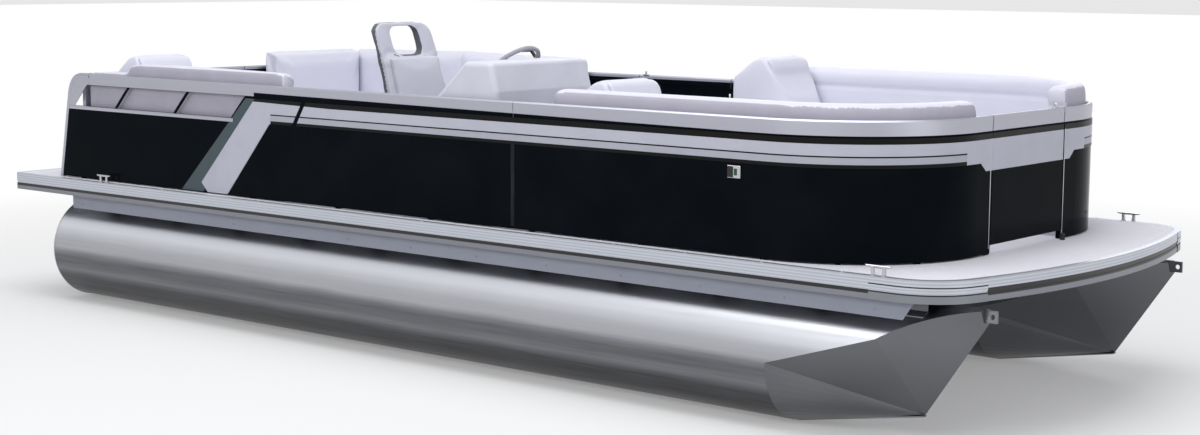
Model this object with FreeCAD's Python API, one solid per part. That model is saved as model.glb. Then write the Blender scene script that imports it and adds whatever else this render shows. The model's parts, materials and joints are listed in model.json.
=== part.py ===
import FreeCAD, Part
import math
import os

# Pontoon boat in millimetres: +X to the bow, +Y to port, +Z up.
# The origin lies below the middle of the deck, level with the keel strips' undersides.

Vector = FreeCAD.Vector
UP = Vector(0, 0, 1)
PORT = Vector(0, 1, 0)
FORWARD = Vector(1, 0, 0)
ORIGIN = Vector(0, 0, 0)

# Overrun of every cutting shape beyond the piece that it cuts
overrun = 20.0

# Deck plan
beam = 2590.0
deck_length = 7050.0
bow_crown_drop = 226.0
bow_corner_radius = 290.0
stern_corner_radius = 40.0
deck_thickness = 22.0
motor_notch_width = 720.0
motor_notch_depth = 260.0

# Tubes
tube_diameter = 635.0
tube_inset = 315.0
tube_setback = 418.0
tube_dish_depth = 90.0
keel_strip_width = 30.0
keel_strip_thickness = 6.0
nose_length = 1022.0
nose_setback = 92.0
forefoot_setback = 353.0
forefoot_height = 114.0
nose_bevel_angle = 36.0
nose_fold_count = 24
bow_eye_length = 60.0
bow_eye_height = 56.0
bow_eye_thickness = 10.0
bow_eye_hole = 24.0

# Deck frame
riser_height = 50.0
riser_width = 240.0
riser_foot_width = 40.0
riser_thickness = 5.0
riser_setback = 375.0
bow_member_setback = 420.0
cross_member_height = 76.0
cross_member_width = 40.0
cross_member_wall = 4.0
cross_member_count = 12

# Deck edge
rail_lip = 30.0
rail_web = 6.0
rail_foot_height = 6.0
rail_groove_depth = 3.0
rail_groove_height = 14.0
rail_groove_share = 0.35
corner_cap_proud = 3.0
corner_cap_length = 565.0
skirt_thickness = 3.0
skirt_drop = 84.0
skirt_inset = 42.0
skirt_aft_setback = 570.0
skirt_front_setback = 356.0
skirt_front_rake = 57.0

# Motor pod between the tubes
pod_width = 520.0
pod_length = 1250.0
pod_floor_height = 330.0
pod_wall = 8.0
transom_thickness = 45.0
transom_angle = 14.0
transom_height = 400.0
transom_hole = 13.5
transom_upper_spacing = 327.0
transom_lower_spacing = 254.0
transom_row_spacing = 203.0
transom_upper_margin = 60.0

# Fence
fence_inset = 71.0
fence_bow_setback = 475.0
fence_corner_radius = 715.0
fence_clearance = 7.0
fence_height = 662.0
fence_depth = 30.0
fence_skin = 4.0
fence_rail = 32.0
top_rail_height = 49.0
top_rail_bevel = 8.0
stripe_height = 33.0
stripe_depth = 2.0
band_height = 137.0
band_thickness = 2.0
wing_setback = 416.0
wing_rake = 113.0
wing_tube_diameter = 28.0
wing_tube_sides = 8
wing_bend_radius = 120.0
panel_seam_setback = 2275.0
seam_gap = 3.0
post_width = 28.0
post_spacing = 640.0
corner_post_shares = (0.33, 0.67)

# Window openings in the after fence
window_setback = 144.0
window_gate_distance = 1100.0
window_rake = 130.0
window_post = 26.0
window_height = 135.0
window_divider_shares = (0.0, 0.283, 0.655, 1.0)

# Raised graphic on the side
slash_setback = 205.0
slash_top_length = 401.0
slash_aft_lean = 490.0
slash_front_lean = 255.0
slash_notch = 86.0
slash_gap = 35.0
slash_hook = 275.0
slash_foot_height = 9.0
slash_chamfer = 55.0
band_step_near = 60.0
band_step_far = 110.0

# Gates
gate_gap = 6.0
gate_sill = 45.0
gate_frame = 30.0
bow_gate_width = 736.0
bow_band_drop = 40.0
side_gate_setback = 3125.0
side_gate_width = 730.0
stern_gate_starboard = -540.0
stern_gate_width = 640.0
stern_fence_setback = 620.0
hinge_pin_diameter = 10.0
hinge_pin_clearance = 0.05
hinge_barrel_diameter = 20.0
hinge_knuckle = 24.0
hinge_knuckle_gap = 0.5
hinge_leaf = 4.0
hinge_leaf_length = 36.0
hinge_axis_offset = 12.0
hinge_height_shares = (0.16, 0.74)
gate_stop_diameter = 26.0
gate_stop_height = 34.0
gate_stop_reach = 26.0

# Deck fittings
cleat_length = 130.0
cleat_height = 46.0
cleat_foot = 20.0
cleat_horn = 12.0
cleat_bevel = 2.5
cleat_tip_share = 0.6
cleat_foot_spacing = 56.0
cleat_inset = 24.0
cleat_bow_setback = 530.0
cleat_stern_setback = 920.0
light_setback = 1350.0
light_length = 75.0
light_height = 60.0
light_depth = 12.0
light_level = 400.0

# Lounges
base_height = 296.0
base_wall = 20.0
seat_gap = 0.3
lid_gap = 5.0
seat_thickness = 118.0
seat_overhang = 10.0
lounge_inset = 4.0
lounge_depth = 550.0
back_thickness = 126.0
back_height = 730.0
low_back_height = 735.0
chaise_end_height = 680.0
chaise_end_length = 400.0
port_back_height = 762.0
return_back_height = 750.0
bolster_height = 773.0
port_bolster_height = 829.0
cushion_ease = 26.0
bow_lounge_length = 2050.0
port_lounge_length = 2260.0
bow_lounge_gate_gap = 72.0
aft_lounge_setback = 55.0
aft_starboard_gap = 800.0
aft_port_gap = 400.0
aft_return_end = 250.0
return_depth = 560.0
bolster_foot = 480.0
bolster_setback = 165.0
bolster_crest = 90.0
bolster_shoulder_drop = 125.0
chaise_setback = 65.0

# Helm
console_gate_overlap = 240.0
console_length = 460.0
console_width = 780.0
console_side_gap = 14.0
console_brow = 700.0
console_round = 30.0
dash_foot = 640.0
dash_height = 850.0
dash_depth = 230.0
dash_top_depth = 190.0
wheel_diameter = 350.0
wheel_rim = 26.0
wheel_rim_sides = 8
wheel_place_share = 0.45
wheel_standoff = 60.0
wheel_dish = 18.0
wheel_spokes = 3
spoke_width = 34.0
spoke_taper_share = 0.6
spoke_thickness = 6.0
hub_diameter = 70.0
hub_depth = 24.0
column_diameter = 20.0
column_length = 70.0
column_clearance = 0.05
throttle_length = 110.0
throttle_width = 60.0
throttle_height = 70.0
lever_length = 130.0
lever_thickness = 14.0
throttle_offset = 200.0

# Captain's chair
chair_console_distance = 380.0
chair_side_distance = 594.0
pedestal_foot = 300.0
pedestal_foot_height = 14.0
pedestal_post = 76.0
pedestal_height = 300.0
chair_width = 540.0
chair_depth = 500.0
chair_post_setback = 110.0
chair_pan = 40.0
chair_seat = 110.0
chair_shell = 26.0
chair_top = 1021.0
chair_back_lean = 18.0
chair_back_taper = 60.0
chair_back_depth = 120.0
chair_shell_share = 0.55
chair_corner_round = 80.0
chair_window_width = 195.0
chair_window_height = 145.0
chair_window_drop = 32.0
spigot_diameter = 50.0
spigot_depth = 90.0
spigot_clearance = 0.05

# Heights worked out from the sizes above
tube_radius = tube_diameter / 2
tube_axis = keel_strip_thickness + tube_radius
tube_offset = beam / 2 - tube_inset
deck_aft = -deck_length / 2
deck_front = deck_length / 2
cross_member_foot = keel_strip_thickness + tube_diameter + riser_height
deck_foot = cross_member_foot + cross_member_height
deck_top = deck_foot + deck_thickness
rail_foot = cross_member_foot - rail_foot_height
fence_foot = deck_top + fence_clearance
rail_top = deck_top + fence_height
top_rail_foot = rail_top - top_rail_height
stripe_foot = top_rail_foot - stripe_height
band_foot = stripe_foot - band_height
side_outer = beam / 2 - fence_inset
side_inner = side_outer - fence_depth

# Places worked out from the sizes above
corner_cap_start = deck_front - corner_cap_length
skirt_aft = deck_aft + skirt_aft_setback
skirt_front_top = deck_front - skirt_front_setback
fence_bow = deck_front - fence_bow_setback
wing_aft = deck_aft + wing_setback
stern_fence_face = deck_aft + stern_fence_setback
panel_seam = fence_bow - panel_seam_setback
side_gate_front = deck_front - side_gate_setback
side_gate_aft = side_gate_front - side_gate_width
window_aft = wing_aft + window_setback
window_front = side_gate_aft - window_gate_distance
slash_top_aft = window_front + slash_setback
slash_top_front = slash_top_aft + slash_top_length
slash_foot_aft = slash_top_aft - slash_aft_lean
slash_foot_front = slash_top_aft - slash_front_lean
cleat_places = (deck_front - cleat_bow_setback, deck_aft + cleat_stern_setback)
light_place = deck_front - light_setback
console_aft = side_gate_front - console_gate_overlap
console_front = console_aft + console_length
console_outboard = console_side_gap - side_inner
console_inboard = console_outboard + console_width
chair_place = console_aft - chair_console_distance
chair_offset = chair_side_distance - side_inner
post_place = chair_place - chair_post_setback
bow_lounge_end = bow_gate_width / 2 + bow_lounge_gate_gap
aft_lounge_aft = stern_fence_face + aft_lounge_setback
aft_starboard_front = chair_place - aft_starboard_gap
aft_port_front = side_gate_aft - aft_port_gap


def box(x0, x1, y0, y1, z0, z1):
    return Part.makeBox(x1 - x0, y1 - y0, z1 - z0, Vector(x0, y0, z0))


def cylinder(radius, start, end):
    along = end - start
    return Part.makeCylinder(radius, along.Length, start, along)


def mirrored(shape):
    return shape.mirror(ORIGIN, PORT)


def moved(shape, x, y, z):
    copy = shape.copy()
    copy.translate(Vector(x, y, z))
    return copy


def turned(shape, centre, axis, angle):
    copy = shape.copy()
    copy.rotate(centre, axis, angle)
    return copy


def fused(shapes):
    whole = shapes[0]
    for shape in shapes[1:]:
        whole = whole.fuse(shape)
    return whole.removeSplitter()


def polygon_face(points):
    return Part.Face(Part.makePolygon(points + [points[0]]))


def prism_y(outline, y0, y1):
    """Solid between two stations across the boat from an (x, z) outline."""
    return polygon_face([Vector(x, y0, z) for x, z in outline]).extrude(Vector(0, y1 - y0, 0))


def prism_x(outline, x0, x1):
    """Solid between two stations along the boat from a (y, z) outline."""
    return polygon_face([Vector(x0, y, z) for y, z in outline]).extrude(Vector(x1 - x0, 0, 0))


def upright_edges(shape, x_low, x_high):
    """Vertical edges whose x lies between two stations."""
    picked = []
    for edge in shape.Edges:
        low, high = edge.Vertexes[0].Point, edge.Vertexes[-1].Point
        level = math.hypot(low.x - high.x, low.y - high.y)
        if level < 1e-6 < abs(low.z - high.z) and x_low < low.x < x_high:
            picked.append(edge)
    return picked


def crown_radius(half, drop):
    return (half * half + drop * drop) / (2 * drop)


def deck_prism(inset, foot, top):
    """Deck outline, inset all round, between two heights."""
    half = beam / 2 - inset
    aft = deck_aft + inset
    front = deck_front - inset
    crown = crown_radius(beam / 2, bow_crown_drop) - inset
    shoulder = front - crown + math.sqrt(crown * crown - half * half)
    places = [(shoulder, half), (aft, half), (aft, -half), (shoulder, -half)]
    sides = [Vector(x, y, foot) for x, y in places]
    edges = [Part.LineSegment(a, b).toShape() for a, b in zip(sides, sides[1:])]
    edges.append(Part.Arc(sides[-1], Vector(front, 0, foot), sides[0]).toShape())
    prism = Part.Face(Part.Wire(edges)).extrude(Vector(0, 0, top - foot))
    prism = prism.makeFillet(bow_corner_radius - inset, upright_edges(prism, 0, deck_front))
    stern_radius = stern_corner_radius - inset
    if stern_radius > 0:
        prism = prism.makeFillet(stern_radius, upright_edges(prism, deck_aft - overrun, 0))
    return prism


def fence_prism(inset, foot, top):
    """Fence plan, inset all round, between two heights; its after end runs past the stern."""
    half = side_outer - inset
    aft = deck_aft - overrun
    prism = box(aft, fence_bow - inset, -half, half, foot, top)
    return prism.makeFillet(fence_corner_radius - inset, upright_edges(prism, 0, deck_front))


def fence_ring(outer_inset, inner_inset, foot, top):
    """Band of the fence's plan between two insets, open at the stern."""
    low, high = foot - overrun, top + overrun
    inner = fence_prism(inner_inset, low, high)
    inner = inner.fuse(box(deck_aft - 2 * overrun, deck_aft, -beam / 2, beam / 2, low, high))
    return fence_prism(outer_inset, foot, top).cut(inner)


def motor_notch():
    half = motor_notch_width / 2
    front = deck_aft + motor_notch_depth
    return box(deck_aft - overrun, front, -half, half, rail_foot - overrun, deck_top + overrun)


def folded_cone(apex, rim):
    """Solid of flat folds from an apex to a flat rim of points."""
    faces = [polygon_face([apex, near, far]) for near, far in zip(rim, rim[1:] + rim[:1])]
    return Part.Solid(Part.Shell(faces + [polygon_face(rim)]))


def make_tube(side):
    """One tube: rolled cylinder, dished after head, folded nose, keel strip and bow eye."""
    aft = deck_aft + tube_setback
    shoulder = deck_front - nose_setback - nose_length
    tip = deck_front - nose_setback
    forefoot = Vector(tip - forefoot_setback, 0, keel_strip_thickness + forefoot_height)
    top = tube_axis + tube_radius
    keel = tube_axis - tube_radius
    barrel = Part.makeCylinder(tube_radius, shoulder - aft, Vector(aft, 0, tube_axis), FORWARD)

    dish_radius = crown_radius(tube_radius, tube_dish_depth)
    head_aft = aft - tube_dish_depth
    head = Part.makeSphere(dish_radius, Vector(head_aft + dish_radius, 0, tube_axis))
    head_place = Vector(head_aft, 0, tube_axis)
    head = head.common(Part.makeCylinder(tube_radius, tube_dish_depth, head_place, FORWARD))

    # The crease is half an ellipse in the sloping plane from the shoulder's sides to the tip.
    slope = Vector(nose_length, 0, tube_radius)
    centre = Vector(shoulder, 0, tube_axis)
    crease, girth = [], []
    for index in range(nose_fold_count + 1):
        turn = math.pi * index / nose_fold_count
        side_place = centre + PORT * (tube_radius * math.cos(turn))
        crease.append(side_place + slope * math.sin(turn))
        girth.append(side_place - UP * (tube_radius * math.sin(turn)))

    under_corners = [centre, centre + slope, Vector(tip, 0, keel), Vector(shoulder, 0, keel)]
    under_plane = moved(polygon_face(under_corners), 0, -tube_radius - overrun, 0)
    under_plane = under_plane.extrude(Vector(0, tube_diameter + 2 * overrun, 0))
    cap = Part.makeCylinder(tube_radius, nose_length, centre, FORWARD).cut(under_plane)
    plates = folded_cone(forefoot, crease)
    chin = folded_cone(forefoot, girth)
    nose = fused([barrel, cap, plates, chin])

    # Two flat bevels fold the plates into a sharp stem.
    reach = nose_length * math.tan(math.radians(nose_bevel_angle))
    outline = [(tip, 0), (tip - nose_length, reach), (tip + nose_length, reach), (tip + nose_length, 0)]
    lean = Vector(forefoot.x - tip, 0, forefoot.z - top)
    stem_top = lean * (-overrun / lean.Length)
    bevel = polygon_face([Vector(x, y, top) + stem_top for x, y in outline]).extrude(lean * 1.2)
    nose = nose.cut(bevel).cut(mirrored(bevel))

    strip_half = keel_strip_width / 2
    strip = box(aft, shoulder, -strip_half, strip_half, 0, keel + keel_strip_thickness)
    rise = [
        (shoulder, 0),
        (forefoot.x, forefoot.z - keel_strip_thickness),
        (forefoot.x, forefoot.z),
        (shoulder, 2 * keel_strip_thickness),
    ]
    strip_rise = prism_y(rise, -strip_half, strip_half)

    eye_half = bow_eye_thickness / 2
    eye_aft, eye_foot = tip - bow_eye_length, top - bow_eye_height
    eye = box(eye_aft, tip, -eye_half, eye_half, eye_foot, top)
    hole_place = Vector(tip - bow_eye_hole, -bow_eye_thickness, top - bow_eye_height / 2)
    eye_relief = box(eye_aft, tip + overrun, -tube_radius, tube_radius, eye_foot, top + overrun)
    eye_hole = Part.makeCylinder(bow_eye_hole / 2, 2 * bow_eye_thickness, hole_place, PORT)
    tube = fused([nose.cut(eye_relief), head, strip, strip_rise, eye]).cut(eye_hole)
    return moved(tube, 0, side * tube_offset, 0)


def make_riser(side):
    """Bracket welded along the tube: a flat top on two legs with feet that fit the tube."""
    aft = deck_aft + tube_setback
    front = deck_front - riser_setback
    half = riser_width / 2
    foot_y = half + riser_foot_width
    start, end = Vector(aft, 0, tube_axis), Vector(front, 0, tube_axis)
    tube_skin = cylinder(tube_radius + riser_thickness, start, end)
    core = cylinder(tube_radius, start - FORWARD * overrun, end + FORWARD * overrun)
    outer = box(aft, front, -half, half, tube_axis, cross_member_foot)
    inner_half = half - riser_thickness
    inner_top = cross_member_foot - riser_thickness
    inner = box(aft - overrun, front + overrun, -inner_half, inner_half, 0, inner_top)
    feet = box(aft, front, -foot_y, foot_y, tube_axis, cross_member_foot).common(tube_skin)
    riser = fused([outer.cut(inner), feet.cut(inner)]).cut(core)
    return moved(riser, 0, side * tube_offset, 0)


def cross_member_stations():
    first = deck_aft + rail_lip + cross_member_width
    last = deck_front - bow_member_setback
    step = (last - first) / (cross_member_count - 1)
    return [first + index * step for index in range(cross_member_count)]


def make_cross_members():
    """Channels across the boat, each cut short where the bow rounds in."""
    half = beam / 2 - skirt_inset - skirt_thickness
    outline = deck_prism(skirt_inset + skirt_thickness, cross_member_foot, deck_foot)
    notch = motor_notch()
    members = []
    for station in cross_member_stations():
        body = box(station, station + cross_member_width, -half, half, cross_member_foot, deck_foot)
        hollow_foot = cross_member_foot + cross_member_wall
        hollow_top = deck_foot - cross_member_wall
        web, open_side = station + cross_member_wall, station + 2 * cross_member_width
        hollow = box(web, open_side, -beam, beam, hollow_foot, hollow_top)
        members.append(body.cut(hollow).common(outline).cut(notch))
    return Part.makeCompound([solid for member in members for solid in member.Solids])


def make_deck_panel():
    """Deck sheets: one ahead of the motor notch and one on each side of it."""
    front = deck_aft + motor_notch_depth
    joint = box(front, front + seam_gap, -beam, beam, 0, deck_top + overrun)
    return Part.makeCompound(deck_prism(rail_lip, deck_foot, deck_top).cut(motor_notch()).cut(joint).Solids)


def edge_ring(proud):
    """Deck-edge extrusion all round: lip, web with a groove, and foot."""
    ring = deck_prism(-proud, rail_foot, deck_top)
    ring = ring.cut(deck_prism(rail_lip, rail_foot - overrun, deck_top + overrun))
    hollow_inset = rail_web
    hollow = deck_prism(hollow_inset, rail_foot + rail_foot_height, deck_foot)
    ring = ring.cut(hollow)
    groove_foot = rail_foot + rail_groove_share * (deck_top - rail_foot)
    groove_top = groove_foot + rail_groove_height
    groove = deck_prism(-proud - overrun / 2, groove_foot, groove_top)
    groove = groove.cut(deck_prism(rail_groove_depth - proud, groove_foot - overrun, groove_top + overrun))
    return ring.cut(groove)


def make_edge_rails():
    """The four runs of the deck edge and the two caps over its bow corners."""
    ring = edge_ring(0).cut(motor_notch())
    stern = deck_aft + stern_corner_radius
    low, high = rail_foot - overrun, deck_top + overrun
    wide = beam
    corner_side = beam / 2 - bow_corner_radius
    side_box = box(stern, corner_cap_start, 0, wide, low, high)
    bow_box = box(corner_cap_start, deck_length, -corner_side, corner_side, low, high)
    stern_box = box(-deck_length, stern, -wide, wide, low, high)
    corner_box = box(corner_cap_start, deck_length, corner_side, wide, low, high)
    proud_corner = edge_ring(corner_cap_proud).common(corner_box)
    return {
        "edge_rail_port": ring.common(side_box),
        "edge_rail_starboard": ring.common(mirrored(side_box)),
        "edge_rail_bow": ring.common(bow_box),
        "edge_rail_stern": ring.common(stern_box),
        "bow_corner_cap_port": proud_corner,
        "bow_corner_cap_starboard": mirrored(proud_corner),
    }


def make_skirt(side):
    """Thin side panel that hangs from the ends of the cross-members."""
    top = deck_foot
    foot = rail_foot - skirt_drop
    front_top = skirt_front_top + skirt_front_rake * (top - rail_foot) / skirt_drop
    front_foot = skirt_front_top - skirt_front_rake
    outline = [(skirt_aft, foot), (front_foot, foot), (front_top, top), (skirt_aft, top)]
    outer = beam / 2 - skirt_inset
    panel = prism_y(outline, outer - skirt_thickness, outer)
    panel = panel.common(deck_prism(rail_lip + seam_gap, foot, top))
    return panel if side > 0 else mirrored(panel)


def pod_foot():
    """Place where the transom's inner face meets the pod's floor."""
    rake = math.radians(transom_angle)
    return deck_aft + transom_thickness * math.cos(rake) + transom_height * math.sin(rake)


def make_motor_pod():
    """Open-topped pod between the tubes: floor, side walls and a sloping front."""
    rake = math.radians(transom_angle)
    half = pod_width / 2
    foot_x = pod_foot()
    floor = pod_floor_height
    top = cross_member_foot
    high = top + overrun
    front = foot_x + pod_length
    bow_rise = (top - floor) / 2
    front_wall = pod_wall + pod_wall / 2
    aft_top = foot_x - (top - floor) * math.tan(rake)
    hull = [(foot_x, floor), (front - bow_rise, floor), (front, top), (aft_top, top)]
    hollow = [
        (foot_x - pod_wall * math.tan(rake) - overrun, floor + pod_wall),
        (front - bow_rise - pod_wall, floor + pod_wall),
        (front - front_wall + overrun / 2, high),
        (foot_x - (high - floor) * math.tan(rake) - overrun, high),
    ]
    return prism_y(hull, -half, half).cut(prism_y(hollow, -half + pod_wall, half - pod_wall))


def make_transom():
    """Raked plate that closes the pod's after end, with the engine's bolt holes."""
    half = pod_width / 2
    foot_x = pod_foot()
    floor = pod_floor_height
    plate = box(foot_x - transom_thickness, foot_x, -half, half, floor, floor + transom_height)
    upper = floor + transom_height - transom_upper_margin
    lower = upper - transom_row_spacing
    for level, spacing in ((upper, transom_upper_spacing), (lower, transom_lower_spacing)):
        for hand in (-1, 1):
            start = Vector(foot_x - transom_thickness - overrun, hand * spacing / 2, level)
            drill = cylinder(transom_hole / 2, start, start + FORWARD * (transom_thickness + 2 * overrun))
            plate = plate.cut(drill)
    return turned(plate, Vector(foot_x, 0, floor), PORT, -transom_angle)


def make_cleats():
    """Open mooring cleats at the deck's edge: a tapered horn on two splayed legs."""
    tip = cleat_length / 2
    leg = cleat_foot_spacing / 2
    foot_half = cleat_foot / 2
    neck = cleat_horn / 2
    under = cleat_height - cleat_horn
    half_outline = [
        (tip, cleat_height),
        (tip, cleat_height - cleat_horn * cleat_tip_share),
        (leg + foot_half, under),
        (leg + foot_half, 0),
        (leg - foot_half, 0),
        (leg - neck, under),
    ]
    outline = half_outline + [(-x, z) for x, z in reversed(half_outline)]
    blank = prism_y(outline, -neck, neck)
    rims = [edge for edge in blank.Edges if abs(edge.Vertexes[0].Y - edge.Vertexes[-1].Y) < neck]
    parts = [blank.makeChamfer(cleat_bevel, rims)]
    for along in (-leg, leg):
        pad = (along - foot_half, along + foot_half, -foot_half, foot_half)
        parts.append(box(*pad, 0, cleat_bevel))
    cleat = fused(parts)
    rail_y = beam / 2 - cleat_inset
    places = [(station, side * rail_y) for station in cleat_places for side in (-1, 1)]
    return Part.makeCompound([moved(cleat, x, y, deck_top) for x, y in places])


def post_at_side(x, foot, top):
    inner = side_inner
    return box(x - post_width / 2, x + post_width / 2, inner, side_outer - fence_skin, foot, top)


def post_at_corner(share, foot, top):
    """Post in the rounded bow corner, at a share of the quarter turn from the side."""
    centre = Vector(fence_bow - fence_corner_radius, side_outer - fence_corner_radius, 0)
    slice_box = box(centre.x - post_width / 2, centre.x + post_width / 2, centre.y, beam, foot, top)
    return turned(slice_box, centre, UP, -90 * share).common(fence_ring(fence_skin, fence_depth, foot, top))


def fence_shell():
    """Skin, rails and recessed stripe of the whole fence before it is split at its gates."""
    skin = fence_ring(0, fence_skin, fence_foot, top_rail_foot)
    stripe = fence_ring(-overrun / 2, stripe_depth, stripe_foot, top_rail_foot)
    foot_rail = fence_ring(fence_skin, fence_depth, fence_foot, fence_foot + fence_rail)
    middle_rail = fence_ring(fence_skin, fence_depth, band_foot - fence_rail / 2, band_foot + fence_rail / 2)
    top_rail = fence_ring(0, fence_depth, top_rail_foot, rail_top)
    crown = [edge for edge in top_rail.Edges if min(v.Z for v in edge.Vertexes) > rail_top - 1e-6]
    long_crown = [edge for edge in crown if edge.BoundBox.XLength > fence_depth]
    top_rail = top_rail.makeChamfer(top_rail_bevel, long_crown)
    return fused([skin.cut(stripe), foot_rail, middle_rail, top_rail])


def window_cutters():
    """Slanted openings between the dividers of the after fence's window band."""
    sill = band_foot + fence_rail / 2
    head = sill + window_height
    length = window_front - window_aft
    cutters = []
    for low, high in zip(window_divider_shares, window_divider_shares[1:]):
        aft = window_aft + length * low + window_post / 2
        front = window_aft + length * high - window_post / 2
        outline = [(aft, sill), (front, sill), (front + window_rake, head), (aft + window_rake, head)]
        cutters.append(prism_y(outline, side_inner - overrun, side_outer + overrun))
    return cutters


def wing_path():
    """Centre line of the bent tube on the raked after end of the side fence, low end first."""
    top_level = rail_top - wing_tube_diameter / 2
    rake = Vector(wing_rake, 0, stripe_foot - deck_top).normalize()
    low = Vector(wing_aft, 0, deck_top)
    corner = low + rake * ((top_level - low.z) / rake.z)
    setback = wing_bend_radius * math.tan(math.acos(rake.x) / 2)
    start = corner - rake * setback
    end = corner + FORWARD * setback
    centre = start + Vector(rake.z, 0, -rake.x) * wing_bend_radius
    middle = centre + (corner - centre).normalize() * wing_bend_radius
    return low, start, middle, end


def wing_keep():
    """Side fence's region forward of and below the bent tube's centre line."""
    low, start, middle, end = wing_path()
    above = Vector(end.x, 0, rail_top + overrun)
    front_corners = [Vector(deck_front, 0, above.z), Vector(deck_front, 0, deck_foot)]
    corners = [above] + front_corners + [Vector(low.x, 0, deck_foot), low]
    edges = [Part.LineSegment(low, start).toShape(), Part.Arc(start, middle, end).toShape(),
             Part.LineSegment(end, above).toShape()]
    edges += [Part.LineSegment(a, b).toShape() for a, b in zip(corners, corners[1:])]
    return Part.Face(Part.Wire(edges)).extrude(Vector(0, beam / 2, 0))


def wing_tube():
    """Bent tube along the raked after end of the side fence."""
    low, start, middle, end = wing_path()
    path = Part.Wire([Part.LineSegment(low, start).toShape(), Part.Arc(start, middle, end).toShape(),
                      Part.LineSegment(end, end + FORWARD * wing_bend_radius).toShape()])
    across = (start - low).normalize().cross(PORT)
    section = []
    for index in range(wing_tube_sides + 1):
        turn = 2 * math.pi * (index + 0.5) / wing_tube_sides
        section.append(low + (PORT * math.cos(turn) + across * math.sin(turn)) * (wing_tube_diameter / 2))
    tube = path.makePipeShell([Part.makePolygon(section)], True, False)
    return moved(tube, 0, (side_outer + side_inner) / 2, 0)


def hinge_levels(foot, top):
    return [foot + share * (top - foot) for share in hinge_height_shares]


def fixed_hinge(level):
    """Two knuckles with their pin and leaf; the axis is the origin and the leaf lies towards -Y."""
    barrel = hinge_barrel_diameter / 2
    upper = level + 2 * hinge_knuckle + 2 * hinge_knuckle_gap
    leaf_aft, leaf_front = hinge_axis_offset - hinge_leaf, hinge_axis_offset
    parts = [cylinder(hinge_pin_diameter / 2, Vector(0, 0, level), Vector(0, 0, upper + hinge_knuckle))]
    for foot in (level, upper):
        parts.append(cylinder(barrel, Vector(0, 0, foot), Vector(0, 0, foot + hinge_knuckle)))
        parts.append(box(leaf_aft, leaf_front, -barrel, 0, foot, foot + hinge_knuckle))
    leaf_low = -barrel - hinge_leaf_length
    parts.append(box(leaf_aft, leaf_front, leaf_low, -barrel, level, upper + hinge_knuckle))
    return fused(parts)


def moving_hinge(level):
    """Middle knuckle with its bore and a leaf on the gate's side, towards +Y."""
    barrel = hinge_barrel_diameter / 2
    foot = level + hinge_knuckle + hinge_knuckle_gap
    top = foot + hinge_knuckle
    knuckle = cylinder(barrel, Vector(0, 0, foot), Vector(0, 0, top))
    leaf_aft = hinge_axis_offset - hinge_leaf
    arm = box(leaf_aft, hinge_axis_offset, 0, barrel + hinge_leaf_length, foot, top)
    bore_radius = hinge_pin_diameter / 2 + hinge_pin_clearance
    bore = cylinder(bore_radius, Vector(0, 0, foot - overrun), Vector(0, 0, top + overrun))
    return knuckle.fuse(arm).cut(bore).removeSplitter()


def hinges(maker, foot, top):
    return [maker(level) for level in hinge_levels(foot, top)]


def placed_hinge(shape, x, y, angle):
    """Hinge whose leaf side +X is turned by an angle about the axis and set at a place."""
    return moved(turned(shape, ORIGIN, UP, angle), x, y, 0)


def flat_panel(near, far, foot):
    """Flat framed panel whose outer face faces +X, between two stations along Y."""
    face = hinge_axis_offset + fence_depth
    inner = hinge_axis_offset
    frame = gate_frame
    skin = box(face - fence_skin, face, near, far, foot, top_rail_foot)
    low, high = near - overrun, far + overrun
    groove = box(face - stripe_depth, face + overrun, low, high, stripe_foot, top_rail_foot)
    top_rail = box(inner, face, near, far, top_rail_foot, rail_top)
    long_edges = [edge for edge in top_rail.Edges if abs(edge.Vertexes[0].Y - edge.Vertexes[-1].Y) > frame]
    crown = [edge for edge in long_edges if edge.Vertexes[0].Z > rail_top - frame / 2]
    parts = [skin.cut(groove), top_rail.makeChamfer(top_rail_bevel, crown)]
    parts.append(box(inner, face - fence_skin, near, far, foot, foot + frame))
    parts.append(box(inner, face - fence_skin, near, near + frame, foot, top_rail_foot))
    parts.append(box(inner, face - fence_skin, far - frame, far, foot, top_rail_foot))
    parts.append(box(inner, face - fence_skin, near, far, band_foot - frame / 2, band_foot + frame / 2))
    return parts


def flat_band(near, far, foot):
    face = hinge_axis_offset + fence_depth
    return box(face, face + band_thickness, near, far, foot, stripe_foot)


def make_gate(length, foot, band_low):
    """Gate about its hinge axis at the origin, with the knuckles that turn with it."""
    near, far = gate_gap, length - gate_gap
    parts = flat_panel(near, far, foot)
    parts.append(flat_band(near, far, band_low))
    parts.extend(hinges(moving_hinge, foot, top_rail_foot))
    return fused(parts)


def side_posts():
    """Upright posts of the port side, straight run and rounded corner."""
    foot, top = deck_top, top_rail_foot
    run_aft = window_front + window_rake + post_width
    run_front = fence_bow - fence_corner_radius
    count = int((run_front - run_aft) // post_spacing)
    step = (run_front - run_aft) / count
    posts = [post_at_side(run_aft + index * step, foot, top) for index in range(count + 1)]
    posts += [post_at_corner(share, foot, top) for share in corner_post_shares]
    short_aft = stern_fence_face + fence_depth / 2
    posts += [post_at_side(x, foot, band_foot) for x in (short_aft, (short_aft + run_aft) / 2)]
    near, far = bow_gate_width / 2, bow_gate_width / 2 + post_width
    posts.append(box(fence_bow - fence_depth, fence_bow - fence_skin, near, far, foot, top))
    return posts


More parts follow.
